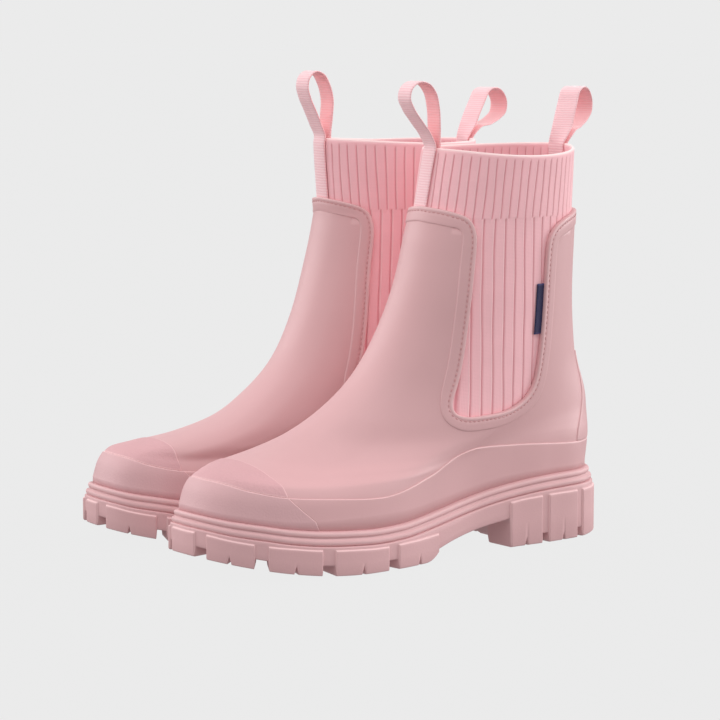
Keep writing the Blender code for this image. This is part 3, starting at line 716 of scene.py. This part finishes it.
def thread_group():
    """Twisted thread: the colour runs in slanting bands, with a soft bump across them."""
    group, given = group_with("twisted_thread", {"Colour": WHITE, "Dark colour": WHITE})
    place = add_node(group, "TexCoord").outputs["Object"]
    twist = add_node(group, "TexWave", {"Vector": place, "Scale": 600, "Distortion": 1.5},
                     bands_direction="DIAGONAL").outputs["Fac"]
    return give_out(group, colour_mix(group, twist, given["Dark colour"], given["Colour"]),
                    spread(group, twist, 0.6, 0.85), bumped(group, twist, 0.5, 0.0002))


TWISTED_THREAD = thread_group()
STITCH_THREAD = finish_with("stitch_thread", TWISTED_THREAD, {
    "Colour": colour(222, 166, 166), "Dark colour": colour(190, 128, 130)}, sheen=0.2)


def gore_stitches(side):
    """One bead per stitch: rings round the stitch line whose radius is an ellipse's, thin at both
    ends, with its line bent down at the ends."""
    s, q, down = topline_frame(0.5)
    ds, dq = surface_steps(s, q, down * 2.4)
    s, q = s + ds, q + dq
    line, normal = skin(s, q, 0.46), wall_normal(s, q)
    run = run_along(line)
    count = int(run[-1] / STITCH_PITCH)
    t = np.linspace(-1, 1, 7)
    place = (np.arange(count)[:, None] + 0.5) * run[-1] / count + t[None] * 1.12
    centre, up = points_at(place, run, line), points_at(place, run, normal)
    ahead = np.gradient(centre, axis=1)
    across = np.cross(up, ahead)
    across /= np.linalg.norm(across, axis=-1, keepdims=True)
    centre = centre - up * (0.32 * t**4)[None, :, None]
    radius = 0.05 + 0.3 * np.sqrt(1 - t**2 * 0.98)
    angle = np.arange(6) * np.pi / 3
    ring = (across[:, :, None] * np.cos(angle)[None, None, :, None]
            + up[:, :, None] * np.sin(angle)[None, None, :, None])
    beads = centre[:, :, None] + ring * radius[None, :, None, None]
    tube = grid_quads(7, 6, wrap_cols=True)
    caps = np.array([(0, 3, 2, 1), (0, 5, 4, 3), (36, 37, 38, 39), (36, 39, 40, 41)])
    one = np.vstack([tube, caps])
    quads = (one[None] + np.arange(count)[:, None, None] * 42).reshape(-1, 4)
    return boot_piece("gore_stitches", side, beads, quads[:, ::-1], STITCH_THREAD)


for side in SIDES:
    stitches = gore_stitches(side)
    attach(stitches, side + "_boot")


# ---------------------------------------------------------------- bumper, mudguard, toe cap, heel stay
# Thin layers of rubber cured onto the upper: a bumper round the toe, a mudguard round the sides and
# heel that climbs over the arch, a stippled cap on the toe, and a stay up the back of the heel.

FOXING_LINE = [(-142, 54), (-130, 53), (-119, 49), (-101, 45), (-77, 43), (-44, 41), (-4, 49), (20, 58.5),
               (35, 61), (66, 60), (115, 57), (145, 56.5)]
CAP_Y = -103.0
BUMPER_END = (0.244, 0.186)  # s of the bumper's slanting end, at the sole and at its top
LAYER = 0.8

CAP_RUBBER = finish_with("toe_cap_rubber", RUBBER_SKIN, {
    "Colour": colour(219, 169, 173), "Edge colour": BLUSH_EDGE_HIGHLIGHT, "Cloudiness": 0.12,
    "Grain per metre": 700.0, "Grain depth": 0.55, "Gloss": 0.58}, specular=0.35)
BUMPER_RUBBER = finish_with("bumper_rubber", RUBBER_SKIN, {
    "Colour": colour(216, 171, 174), "Edge colour": BLUSH_EDGE_HIGHLIGHT, "Cloudiness": 0.07,
    "Grain per metre": 900.0, "Grain depth": 0.22, "Gloss": 0.52}, specular=0.38)


def foxing_q(s):
    """The q of the mudguard's top edge at s: its height depends on the Y that it has there."""
    q = np.full(np.shape(s), 0.15)
    for _ in range(6):
        q = q_at(s, curve_value(FOXING_LINE, wall(s, q)[..., 1]))
    return q


def bunched(count):
    """Numbers from 0 to 1 that crowd towards both ends, as the cosine of even angles does."""
    return (1 - np.cos(np.pi * np.linspace(0, 1, count))) / 2


def cured_layer(name, side, s, q, thickness, material, open_foot=True):
    """A layer on the wall over a grid of s and q.  Its thickness falls to nothing at each edge along
    a quarter ellipse 0.9 mm wide, except at its foot, which runs down behind the welt."""
    rows, cols = s.shape
    base = wall(s, q)
    def run(axis):
        step = np.linalg.norm(np.diff(base, axis=axis), axis=-1)
        total = np.cumsum(step, axis=axis)
        return np.concatenate([np.zeros_like(np.take(total, [0], axis)), total], axis)
    up, along = run(0), run(1)
    edges = [up[-1:] - up, along, along[:, -1:] - along] + ([] if open_foot else [up])
    near = np.minimum.reduce([np.broadcast_to(edge, base.shape[:2]) for edge in edges])
    share = np.clip(near / 0.9, 0, 1)
    lift = thickness * np.sqrt(1 - (1 - share) ** 2)
    outer, inner = skin(s, q, lift + 0.02), skin(s, q, np.full(s.shape, -0.25))
    if open_foot:
        for face in (outer, inner):
            face[0, :, 2] = curve_value(CORD_LINE, face[0, :, 1]) + 2.6
    quads = grid_quads(rows, cols)
    size = rows * cols
    index = np.arange(size).reshape(rows, cols)
    border = np.concatenate([index[0, :-1], index[:-1, -1], index[-1, :0:-1], index[:0:-1, 0]])
    after = np.roll(border, -1)
    rim = np.stack([after, border, border + size, after + size], -1)
    # Painted highlight along the layer's raised edges, none at an open foot.
    light = np.exp(-((near - 0.35) / 0.4) ** 2) * 0.5
    if open_foot:
        light[0] = 0
    points = np.concatenate([outer.reshape(-1, 3), inner.reshape(-1, 3)])
    return boot_piece(name, side, points, np.vstack([quads, quads[:, ::-1] + size, rim]), material,
                      marks={"edge": np.concatenate([light.ravel(), light.ravel()])})


def toe_bumper(side):
    """From the welt to the foxing line, between slanting ends at both sides of the toe."""
    rise = bunched(30)[:, None]
    end = BUMPER_END[0] + (BUMPER_END[1] - BUMPER_END[0]) * rise
    end[0] += 0.008
    s = (2 * bunched(200) - 1)[None] * end
    return cured_layer("toe_bumper_layer", side, s, foxing_q(s) * rise, LAYER * 1.25, BUMPER_RUBBER)


def mudguard(side):
    """From one end of the bumper round the heel to the other, up to the foxing line."""
    rise = bunched(30)[:, None]
    end = BUMPER_END[0] + (BUMPER_END[1] - BUMPER_END[0]) * rise - 0.001
    end[0] += 0.008
    s = 1 + (2 * bunched(460) - 1)[None] * (1 - end)
    return cured_layer("mudguard_layer", side, s, foxing_q(s) * rise, LAYER, BOOT_RUBBER)


def toe_cap(side):
    """From the bumper's top edge back to a straight edge across the vamp."""
    rise = bunched(44)[:, None]
    s = ((2 * bunched(130) - 1) * BUMPER_END[1])[None] * (1 + 0 * rise)
    low = foxing_q(s)
    side_y = wall(BUMPER_END[1], foxing_q(np.array(BUMPER_END[1])))[1]
    rear_y = CAP_Y + (side_y - CAP_Y) * (s / BUMPER_END[1]) ** 2
    q = low + np.maximum(q_at(s, rear_y, axis=1) - low, 0) * rise
    return cured_layer("toe_cap_layer", side, s, q, LAYER * 0.6, CAP_RUBBER, open_foot=False)


def heel_stay(side):
    """A tongue up the back of the heel, narrower towards its top."""
    rise = bunched(50)[:, None]
    s = 1 + (2 * bunched(70) - 1)[None] * 0.155 * (1 - 0.25 * rise**3)
    low = foxing_q(s)
    q = low + (q_at(s, 110.0) - low) * rise
    return cured_layer("heel_stay_layer", side, s, q, LAYER * 1.1, BOOT_RUBBER, open_foot=False)


for side in SIDES:
    for make, node in ((toe_bumper, "toe_bumper"), (mudguard, "mudguard"), (toe_cap, "toe_cap"),
                       (heel_stay, "heel_stay")):
        set_on(make(side), side, node)


# ---------------------------------------------------------------- the knitted shaft
# A tube of elastic rib knit lines the shaft, fills both gores and stands above the rubber as a cuff.
# Just above the gores the ribs are drawn closer, from 44 to 53 round the leg, and the rim is turned in.

KNIT = 1.8
RIBS = 44
CUFF_RIBS = 53
RIB_DEPTH = 0.65
SHIFT_HEIGHT = 194.0
MM_PER_Q = 710.0


def thread_wave(group, cloth, axis, pitch):
    """A sine along one direction of the cloth, once per pitch."""
    apart = add_node(group, "SeparateXYZ", {0: cloth})
    return worked_out(group, "SINE", worked_out(group, "MULTIPLY", apart.outputs[axis],
                                                2 * math.pi / pitch))


def rib_knit_group():
    """Stretch knit: rows of stitches across the ribs and finer columns along them, from the mesh's
    own cloth mark (millimetres round, millimetres up).  The colour is partly a random tone and partly
    painted shade in the stitch hollows, with painted shade darker in the mesh's groove mark and a
    painted highlight paler in its edge mark."""
    group, given = group_with("rib_knit", {
        "Colour": WHITE, "Groove shade colour": WHITE, "Edge colour": WHITE, "Stitch depth": 0.3})
    cloth = mark_of(group, "cloth", "Vector")
    both = worked_out(group, "MULTIPLY_ADD", thread_wave(group, cloth, "X", 0.9), 0.5,
                      thread_wave(group, cloth, "Y", 0.8))
    fuzz = noise(group, cloth, 1.1, 3)
    height = worked_out(group, "MULTIPLY_ADD", fuzz, 1.2, both)
    # Partly random tone, partly painted shade: the colour dips where the stitch height is low.
    shade = worked_out(group, "MULTIPLY", spread(group, height, 0.95, 1.02, -1.0, 2.2),
                       spread(group, noise(group, cloth, 0.06), 0.95, 1.05))
    tint = shaded(group, given["Colour"], shade)
    # Painted shade in the groove mark and painted highlight in the edge mark.
    for name, label in (("groove", "Groove shade colour"), ("edge", "Edge colour")):
        tint = colour_mix(group, mark_of(group, name), tint, given[label])
    return give_out(group, tint, spread(group, fuzz, 0.8, 0.95),
                    bumped(group, height, given["Stitch depth"], 0.0004))


RIB_KNIT = rib_knit_group()
# The groove colour is painted shade in the rib grooves; the edge colour is a painted highlight on the rim
# and beside each groove.
SHAFT_KNIT = finish_with("shaft_knit", RIB_KNIT, {
    "Colour": colour(254, 196, 202), "Groove shade colour": colour(222, 138, 148),
    "Edge colour": colour(255, 228, 226), "Stitch depth": 0.15}, sheen=0.25, specular=0.2)


def set_back(place):
    """How far back a point lies, counted along a slanting line that is the same on both sides."""
    return place[..., 1] + 0.76 * np.abs(place[..., 0])


def knit_tube(side):
    """Outer and inner face as one closed profile in q, carried round the boot.  A groove's depth is a
    bell curve of the distance to it, counted along the rim, with a low ledge beside it.  Above the
    break there are CUFF_RIBS of them round the leg.  Below it each hangs straight down in one upright
    plane: the columns of points are moved along s until they reach it, by their distance over the
    slope, and less and less towards toe and heel.  A slow wave bends the ribs a little."""
    cols, full = RIBS * 18, 0.6
    low = np.concatenate([np.linspace(0, 0.97, 42), [0.99, 0.998]])[:, None]
    high = np.concatenate([[0.004, 0.02], np.linspace(0.06, 1, 20)])[:, None]
    s = np.linspace(0, 2, cols, endpoint=False)
    rim = wall(s, 1.0)
    run = run_along(rim)
    girth = run[-1] + np.linalg.norm(rim[0] - rim[-1])
    turned = np.array([0.0, 0.3, 0.7, 1.2, 1.9, 2.8, 3.4, 4.4]) / MM_PER_Q
    cut = q_at(s, np.full(cols, SHIFT_HEIGHT))
    hem = (1 - turned)[:, None] + 0 * cut
    q_out = np.vstack([0.5 + (cut - 0.5) * low, cut + (0.992 - cut) * high, hem[::-1]])
    q = np.vstack([q_out, hem, np.linspace(0.992, 0.5, 34)[:, None] + 0 * cut])
    lower = (q < cut) * 1.0
    hang = s + 0 * q
    swell = np.abs(np.sin(np.pi * s))
    firm = lower * (swell > full)
    room = 0.95 * (0.5 - np.abs(np.mod(s, 1) - 0.5))
    plane = set_back(wall(s, cut))
    for _ in range(6):
        slope = (set_back(wall(hang + 0.003, q)) - set_back(wall(hang - 0.003, q))) / 0.006
        hang = hang + firm * (plane - set_back(wall(hang, q))) / np.where(firm > 0, slope, 1)
        hang = np.clip(hang, s - room, s + room)
    col, half, first = np.arange(cols), cols // 2, int(np.argmax(swell > full))
    nearest = np.where(col < half, np.clip(col, first, half - first),
                       np.clip(col, half + first, cols - first))
    hang = s + (hang - s)[:, nearest] * np.minimum(swell / full, 1)
    z = wall(hang, q)[..., 2]
    where = run / girth * RIBS + 0 * q
    where = where + 0.03 * np.sin(z / 17 + where * 0.9) + 0.02 * np.sin(z / 7.5 + where * 2.3)
    def groove(count, offset, width=0.15):
        away = np.abs(np.mod(where * count + offset, 1) - 0.5) * 2
        return np.exp(-(((1 - away) / width) ** 2))
    closer = CUFF_RIBS / RIBS
    depth = groove(1, 0) * lower + groove(closer, 0) * (1 - lower)
    ledge = groove(1, 0.12, 0.12) * lower + groove(closer, 0.12, 0.12) * (1 - lower)
    fade = np.clip((1 - q) * MM_PER_Q / 1.2 - 2.0, 0, 1)
    rows = len(q_out)
    outer = -RUBBER - 0.3 - (RIB_DEPTH * depth - 0.18 * ledge) * fade + 0.15 * (1 - lower)
    inner = -RUBBER - 0.3 - KNIT + 0.35 * depth * fade
    lift = np.concatenate([outer[:rows], inner[rows:]])
    bend = np.array([0.9, 0.5, 0.2, 0.05, 0, 0, 0, 0])
    lift[rows - 8:rows] -= bend[::-1, None]
    lift[rows:rows + 8] += bend[:, None]
    points = skin(hang, q, lift)
    top = np.zeros(len(q))
    top[rows - 4:rows + 4] = [0.1, 0.6, 0.9, 1, 1, 0.9, 0.6, 0.1]
    points[..., 2] += (top * 0.4)[:, None]
    cloth = np.stack([where * girth / RIBS, z, 0 * z], -1)
    # Painted highlight on the turned-in rim and along the ledge beside each groove; the groove mark is
    # painted shade in the grooves.
    light = np.clip(top[:, None] + 0.35 * ledge * fade, 0, 1)
    marks = {"cloth": cloth.reshape(-1, 3), "groove": (depth * fade * 0.8).ravel(), "edge": light.ravel()}
    quads = grid_quads(len(q), cols, wrap_cols=True, wrap_rows=True)
    return boot_piece("knit_tube", side, points, quads, SHAFT_KNIT, marks=marks)


for side in SIDES:
    knit = set_on(knit_tube(side), side, "knit_shaft")


# ---------------------------------------------------------------- the inside of the foot
# Brushed jersey backs the rubber round the foot.  On the board lies a padded footbed with a raised
# edge and a soft heel cup.

FOOT_JERSEY = finish_with("foot_jersey", RIB_KNIT, {
    "Colour": colour(232, 190, 190), "Groove shade colour": colour(200, 150, 150),
    "Edge colour": colour(245, 220, 218), "Stitch depth": 0.5}, sheen=0.4, specular=0.15)
BOARD = finish_with("insole_board_fibre", RIB_KNIT, {
    "Colour": colour(214, 200, 190), "Groove shade colour": colour(180, 165, 155),
    "Edge colour": colour(230, 220, 210), "Stitch depth": 0.15}, specular=0.2)


def foot_jersey(side):
    """A closed profile in q, thin as cloth, carried round the boot inside the rubber."""
    s = np.linspace(0, 2, 240, endpoint=False)
    up = np.linspace(0, 0.497, 40)
    q = np.concatenate([up, up[::-1]])[:, None]
    lift = np.concatenate([np.full(40, -RUBBER - 0.3), np.full(40, -RUBBER - 1.5)])[:, None]
    points = skin(s[None], q, lift + 0 * s[None])
    run = np.broadcast_to(s[None] * 170, points.shape[:2])
    cloth = np.stack([run, points[..., 2], 0 * run], -1)
    quads = grid_quads(80, 240, wrap_cols=True, wrap_rows=True)
    zero = np.zeros(points.shape[0] * points.shape[1])
    return boot_piece("foot_jersey", side, points, quads, FOOT_JERSEY,
                      marks={"cloth": cloth.reshape(-1, 3), "groove": zero, "edge": zero})


def insole_layer(name, side, inset, low, high, dish, material):
    """A flat layer between two heights over the welt line: rings round its rounded edge, closed by
    rows of points across it.  dish is how far the middle of the top sinks."""
    outer_s = np.linspace(0, 1, 130)
    s = np.concatenate([outer_s, inner_partner(outer_s[-2:0:-1])])
    count, half = len(s), len(outer_s)
    thick = high - low
    soft = min(1.2, thick * 0.4)
    rings = [(inset + 1.5 * soft, low), (inset + 0.4 * soft, low + 0.2 * soft), (inset, low + soft),
             (inset, high - soft), (inset + 0.3 * soft, high - 0.4 * soft), (inset + 1.2 * soft, high)]
    points = np.array([np.stack([*(o := outline(s, i)), curve_value(WELT_LINE, o[1]) + h], -1)
                       for i, h in rings]).reshape(-1, 3)
    quads = [grid_quads(len(rings), count, wrap_cols=True)]
    ends = np.sin(np.pi * np.linspace(0, 1, half)[1:-1, None])
    def dished(rows, across):
        edge = 4 * across * (1 - across)
        rows[..., 2] -= dish * np.clip(edge * 1.6, 0, 1) * np.clip(ends * 2.5, 0, 1)
    points, bottom = close_ring(points, 0, count, half, 33, lambda rows, across: None)
    points, top = close_ring(points, (len(rings) - 1) * count, count, half, 33, dished)
    quads += [bottom, top[:, ::-1]]
    cloth = np.stack([points[:, 0], points[:, 1], 0 * points[:, 0]], -1)
    zero = np.zeros(len(points))
    return boot_piece(name, side, points, np.vstack(quads), material,
                      marks={"cloth": cloth, "groove": zero, "edge": zero})


for side in SIDES:
    jersey = set_on(foot_jersey(side), side, "foot_lining")
    set_on(insole_layer("board_layer", side, 9.2, -4.2, -1.5, 0.0, BOARD), side, "insole_board")
    bed = insole_layer("padded_footbed", side, 9.2, -1.2, 3.8, 1.6, FOOT_JERSEY)
    set_on(bed, side, "footbed")


# ---------------------------------------------------------------- the side label
# A folded tab of woven navy ribbon, blank, caught in the seam at the back of the outer gore.
# Its two layers show as a rounded fold at the free edge.


LABEL_FOOT, LABEL_TOP, LABEL_WIDTH = 124.6, 154.4, 8.0


def label_group():
    """Damask weave: fine crossed threads as bump, with a slightly paler selvedge at the edge mark."""
    group, given = group_with("damask_weave", {"Colour": WHITE, "Edge colour": WHITE})
    weave = add_node(group, "TexChecker", {"Vector": mark_of(group, "cloth", "Vector"),
                                           "Scale": 3.2}).outputs["Fac"]
    tint = colour_mix(group, mark_of(group, "edge"), given["Colour"], given["Edge colour"])
    return give_out(group, tint, spread(group, weave, 0.5, 0.7), bumped(group, weave, 0.4, 0.0002))


DAMASK = label_group()
LABEL_NAVY = finish_with("label_navy", DAMASK, {
    "Colour": colour(34, 32, 74), "Edge colour": colour(70, 68, 118)})


def side_label(side):
    """A flat loop of cloth over s and height, bulged at its fold and lifted off the knit."""
    t = np.linspace(0, 1, 26)
    ring = np.concatenate([t, 1 - t])
    over = np.concatenate([np.full(26, 1.0), np.full(26, 0.0)])
    fold = np.clip(ring / 0.08, 0, 1) ** 0.5
    lift = -RUBBER + 0.45 + (over - 0.5) * fold
    z = np.linspace(LABEL_FOOT, LABEL_TOP, 40)[:, None]
    lip = rounded_line(TOPLINE, 1.5)
    rear = lip[lip[:, 0] > 80]
    rear = rear[np.argsort(rear[:, 1])]
    ss = (np.interp(z, rear[:, 1], rear[:, 0]) + 2.8 - (1 - ring[None]) * LABEL_WIDTH) / GIRTH
    points = skin(ss, q_at(ss, z + 0 * ss), lift[None] + 0 * ss)
    rows, cols = points.shape[:2]
    quads = grid_quads(rows, cols, wrap_cols=True)
    index = np.arange(cols)
    pairs = np.stack([index[:25], index[1:26], cols - 2 - index[:25], cols - 1 - index[:25]], -1)
    top = pairs + (rows - 1) * cols
    cloth = np.stack([np.broadcast_to(ring[None] * LABEL_WIDTH, (rows, cols)),
                      np.broadcast_to(z, (rows, cols)),
                      np.zeros((rows, cols))], -1)
    light = np.exp(-(np.minimum(z - LABEL_FOOT, LABEL_TOP - z) / 0.7) ** 2) + 0 * ss
    return boot_piece("blank_label", side, points, np.vstack([quads, pairs[:, ::-1], top])[:, ::-1],
                      LABEL_NAVY, marks={"cloth": cloth.reshape(-1, 3), "edge": light.ravel()})


for side in SIDES:
    label = set_on(side_label(side), side, "side_label")


# ---------------------------------------------------------------- the pull loops
# Grosgrain ribbon, 13 mm wide, one length at the front and one at the back of each cuff.  It starts
# under the rubber's top edge, runs up the knit, arches outwards and is sewn down inside the cuff.

RIBBON_WIDTH, RIBBON, RIB_PITCH = 13.0, 1.0, 1.55
ARCH = [(-1.7, 1), (1, 8), (7, 17), (13, 26), (15.5, 33), (13.5, 39), (7.5, 42.5), (0.5, 41),
        (-4.5, 35), (-6.8, 26), (-6.8, 14), (-5.1, 1)]
# Each loop's reach and height against that arch, its lean outwards and its turn in degrees, and how
# far it is sewn to the side of the cuff's middle.
LOOP_SHAPES = {"left_front": (0.91, 0.91, 4, 4, -3.4), "right_front": (0.75, 0.94, -2, 4, 0.0),
               "left_back": (1.14, 0.95, 29, 26, 0.0), "right_back": (1.12, 0.92, 32, 20, 0.0)}


def grosgrain_group():
    """Grosgrain: cross ribs with painted shade darker in their valleys, from the ribbon's own cloth mark
    (millimetres across, millimetres along), with a faint fibre noise."""
    group, given = group_with("grosgrain", {"Colour": WHITE, "Valley shade colour": WHITE, "Rib depth": 0.4})
    cloth = mark_of(group, "cloth", "Vector")
    fibre = noise(group, cloth, 2.5)
    height = worked_out(group, "MULTIPLY_ADD", fibre, 0.5, thread_wave(group, cloth, "Y", RIB_PITCH))
    # Painted shade: the colour darkens towards the valley colour in the ribs' valleys.
    tint = colour_mix(group, spread(group, height, 0.0, 1.0, -0.8, 0.6), given["Valley shade colour"],
                      given["Colour"])
    return give_out(group, tint, spread(group, fibre, 0.62, 0.8),
                    bumped(group, height, given["Rib depth"], 0.0004))


GROSGRAIN = grosgrain_group()
RIBBON_FACE = finish_with("ribbon_face", GROSGRAIN, {
    "Colour": colour(254, 210, 214), "Valley shade colour": colour(248, 192, 198), "Rib depth": 0.35},
    sheen=0.5, specular=0.3)
RIBBON_BACK = finish_with("ribbon_back", GROSGRAIN, {
    "Colour": colour(255, 199, 202), "Valley shade colour": colour(252, 184, 188), "Rib depth": 0.3},
    sheen=0.5, specular=0.3)


def pull_ribbon(side, end):
    """A flat closed section carried along the ribbon's line: up the knit, round the arch and down
    inside the cuff.  Cross ribs lift both faces by a sine of the distance along."""
    out = -1 if end == 0 else 1
    rim = wall(float(end), 1.0)
    z = np.array([192.0, 200, 210, 220, 229])
    strip = wall(np.full(5, float(end)), q_at(np.full(5, float(end)), z))
    lift = np.array([-1.9, -1.4, -1.3, -1.3, -1.4])
    climb = np.stack([(strip[:, 1] - rim[1]) * out + lift, strip[:, 2] - rim[2]], -1)
    inside = [(-5.0, -6), (-5.0, -14), (-5.1, -20)]
    reach, tall, lean, twist, aside = LOOP_SHAPES[side + "_" + ("back" if end else "front")]
    arch = np.array(ARCH) * [1, tall]
    arch[1:-3, 0] *= reach
    arch[-3:, 0] += [0.9, 0.9, 0]
    tip = np.radians(lean) * np.clip(arch[:, 1] / 14, 0, 1)
    arch = np.stack([arch[:, 0] * np.cos(tip) + arch[:, 1] * np.sin(tip),
                     arch[:, 1] * np.cos(tip) - arch[:, 0] * np.sin(tip)], -1)
    line = smooth_path(np.vstack([climb, arch, inside]), closed=False, steps=60)
    run = run_along(line)
    even = np.arange(0, run[-1], 0.31)
    line = points_at(even, run, line)
    tangent = np.gradient(line, axis=0)
    tangent /= np.linalg.norm(tangent, axis=1, keepdims=True)
    face = np.stack([tangent[:, 1], -tangent[:, 0]], -1)
    w = RIBBON_WIDTH / 2
    section = np.array([(-w + 0.15, 0.38), (-w * 0.9, 0.5), (-w * 0.45, 0.5), (0, 0.5), (w * 0.45, 0.5),
                        (w * 0.9, 0.5), (w - 0.15, 0.38), (w, 0), (w - 0.15, -0.38), (w * 0.9, -0.5),
                        (w * 0.45, -0.5), (0, -0.5), (-w * 0.45, -0.5), (-w * 0.9, -0.5),
                        (-w + 0.15, -0.38), (-w, 0)]) * [1, RIBBON]
    rib = 0.07 * np.sin(even * 2 * np.pi / RIB_PITCH)[:, None] * np.sign(section[:, 1])[None]
    rib = rib * (np.abs(section[:, 0]) < w * 0.95)[None]
    off = section[None, :, 1] + rib
    flat = line[:, None] + face[:, None] * off[..., None]
    curl = (section[None, :, 0] ** 2) * 0.5 / 30 * np.clip(-flat[..., 1] / 12 + 0.5, 0, 1)
    x, y = section[None, :, 0] + 0 * off, out * (flat[..., 0] - curl)
    turn = np.radians(twist) * np.clip(flat[..., 1] / 10, 0, 1) * (1 if side == "left" else -1)
    turn = turn + aside / 24
    points = np.stack([x * np.cos(turn) - y * np.sin(turn) + aside,
                       rim[1] + x * np.sin(turn) + y * np.cos(turn) + aside ** 2 / 48,
                       rim[2] + flat[..., 1]], -1)
    rows, cols = points.shape[:2]
    quads = grid_quads(rows, cols, wrap_cols=True)
    facing = np.tile(np.arange(cols) < 7, rows - 1)
    caps = np.array([(0, 1, 14, 15), (1, 2, 13, 14), (2, 3, 12, 13), (3, 4, 11, 12), (4, 5, 10, 11),
                     (5, 6, 9, 10), (6, 7, 8, 9)])
    quads = np.vstack([quads, caps[:, ::-1], caps + (rows - 1) * cols])
    backs = np.concatenate([~facing, np.ones(14, bool)])
    cloth = np.stack([np.broadcast_to(section[None, :, 0], (rows, cols)),
                      np.broadcast_to(even[:, None], (rows, cols)), np.zeros((rows, cols))], -1)
    name = ("front" if end == 0 else "back") + "_pull_ribbon"
    return boot_piece(name, side, points, quads[:, ::out], RIBBON_FACE, RIBBON_BACK, backs,
                      marks={"cloth": cloth.reshape(-1, 3)})


for side in SIDES:
    for end, where in ((0, "front"), (1, "back")):
        ribbon = pull_ribbon(side, end)
        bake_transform(ribbon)
        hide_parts(f"{side}_{where}_pull_loop", f"{side}_{where}_loop_tab")


# ---------------------------------------------------------------- floor, light and camera
# A wide pale floor with no edge in view, three broad soft lights, and an even grey surround.

STAGE_GREY = colour(235, 235, 235)
AZIMUTH, ELEVATION = math.radians(55.5), math.radians(6.95)
DISTANCE, ACROSS, UP = 1.628, 0.0115, 0.1052
PAIR_Y = -0.0038


def studio_floor():
    """One wide quad at the ground, evenly lit to the surround's grey in view and darker to the rest."""
    mesh = bpy.data.meshes.new("studio_floor")
    mesh.from_pydata([(x, y, 0) for x, y in ((-40, -40), (40, -40), (40, 40), (-40, 40))], [],
                     [(0, 1, 2, 3)])
    material = bpy.data.materials.new("studio_floor")
    material.use_nodes = True
    tree = material.node_tree
    shader = tree.nodes["Principled BSDF"]
    tone = spread(tree, add_node(tree, "TexNoise", {"Scale": 3}).outputs["Fac"], 0.006, 0.010)
    seen = add_node(tree, "LightPath").outputs["Is Camera Ray"]
    tree.links.new(tone, shader.inputs["Base Color"])
    tree.links.new(worked_out(tree, "MULTIPLY_ADD", seen, 0.42, 0.40), shader.inputs["Emission Strength"])
    shader.inputs["Emission Color"].default_value = WHITE
    shader.inputs["Roughness"].default_value = 0.9
    shader.inputs["Specular IOR Level"].default_value = 0.0
    mesh.materials.append(material)
    floor = bpy.data.objects.new("studio_floor", mesh)
    bpy.context.collection.objects.link(floor)


def soft_sun(name, towards, strength, width):
    """A sun seen under a wide angle, so that its shadows are soft; towards points at it."""
    light = bpy.data.lights.new(name, "SUN")
    light.energy = strength
    light.angle = math.radians(width)
    lamp = bpy.data.objects.new(name, light)
    direction = np.array(towards) / np.linalg.norm(towards)
    lamp.rotation_euler = (math.acos(direction[2]), 0, math.atan2(direction[1], direction[0]) + math.pi / 2)
    bpy.context.collection.objects.link(lamp)


studio_floor()
right = np.array([math.cos(AZIMUTH), math.sin(AZIMUTH), 0])
upright = np.array([-math.sin(AZIMUTH) * math.sin(ELEVATION), math.cos(AZIMUTH) * math.sin(ELEVATION),
                    math.cos(ELEVATION)])
view = np.cross(right, upright)
sky = np.array([0, 0, 1.0])
soft_sun("left_softbox", -right * 1.0 - view * 0.35 + sky * 0.3, 1.25, 50)
soft_sun("right_softbox", right * 1.0 - view * 0.35 + sky * 0.25, 1.9, 40)
soft_sun("top_softbox", sky + view * 0.25 - right * 0.1, 0.95, 80)

world = bpy.data.worlds.new("studio")
world.use_nodes = True
seen = add_node(world.node_tree, "LightPath").outputs["Is Camera Ray"]
world.node_tree.links.new(colour_mix(world.node_tree, seen, (0.76, 0.76, 0.76, 1), STAGE_GREY),
                          world.node_tree.nodes["Background"].inputs["Color"])
bpy.context.scene.world = world
bpy.context.scene.view_settings.view_transform = "Standard"

lens = bpy.data.cameras.new("camera")
lens.lens = 134.4
lens.clip_end = 200
camera = bpy.data.objects.new("camera", lens)
aim = right * ACROSS + upright * UP + np.array([0, PAIR_Y, 0])
camera.location = aim + view * DISTANCE
camera.rotation_euler = (math.pi / 2 - ELEVATION, 0, AZIMUTH)
bpy.context.collection.objects.link(camera)
bpy.context.scene.camera = camera
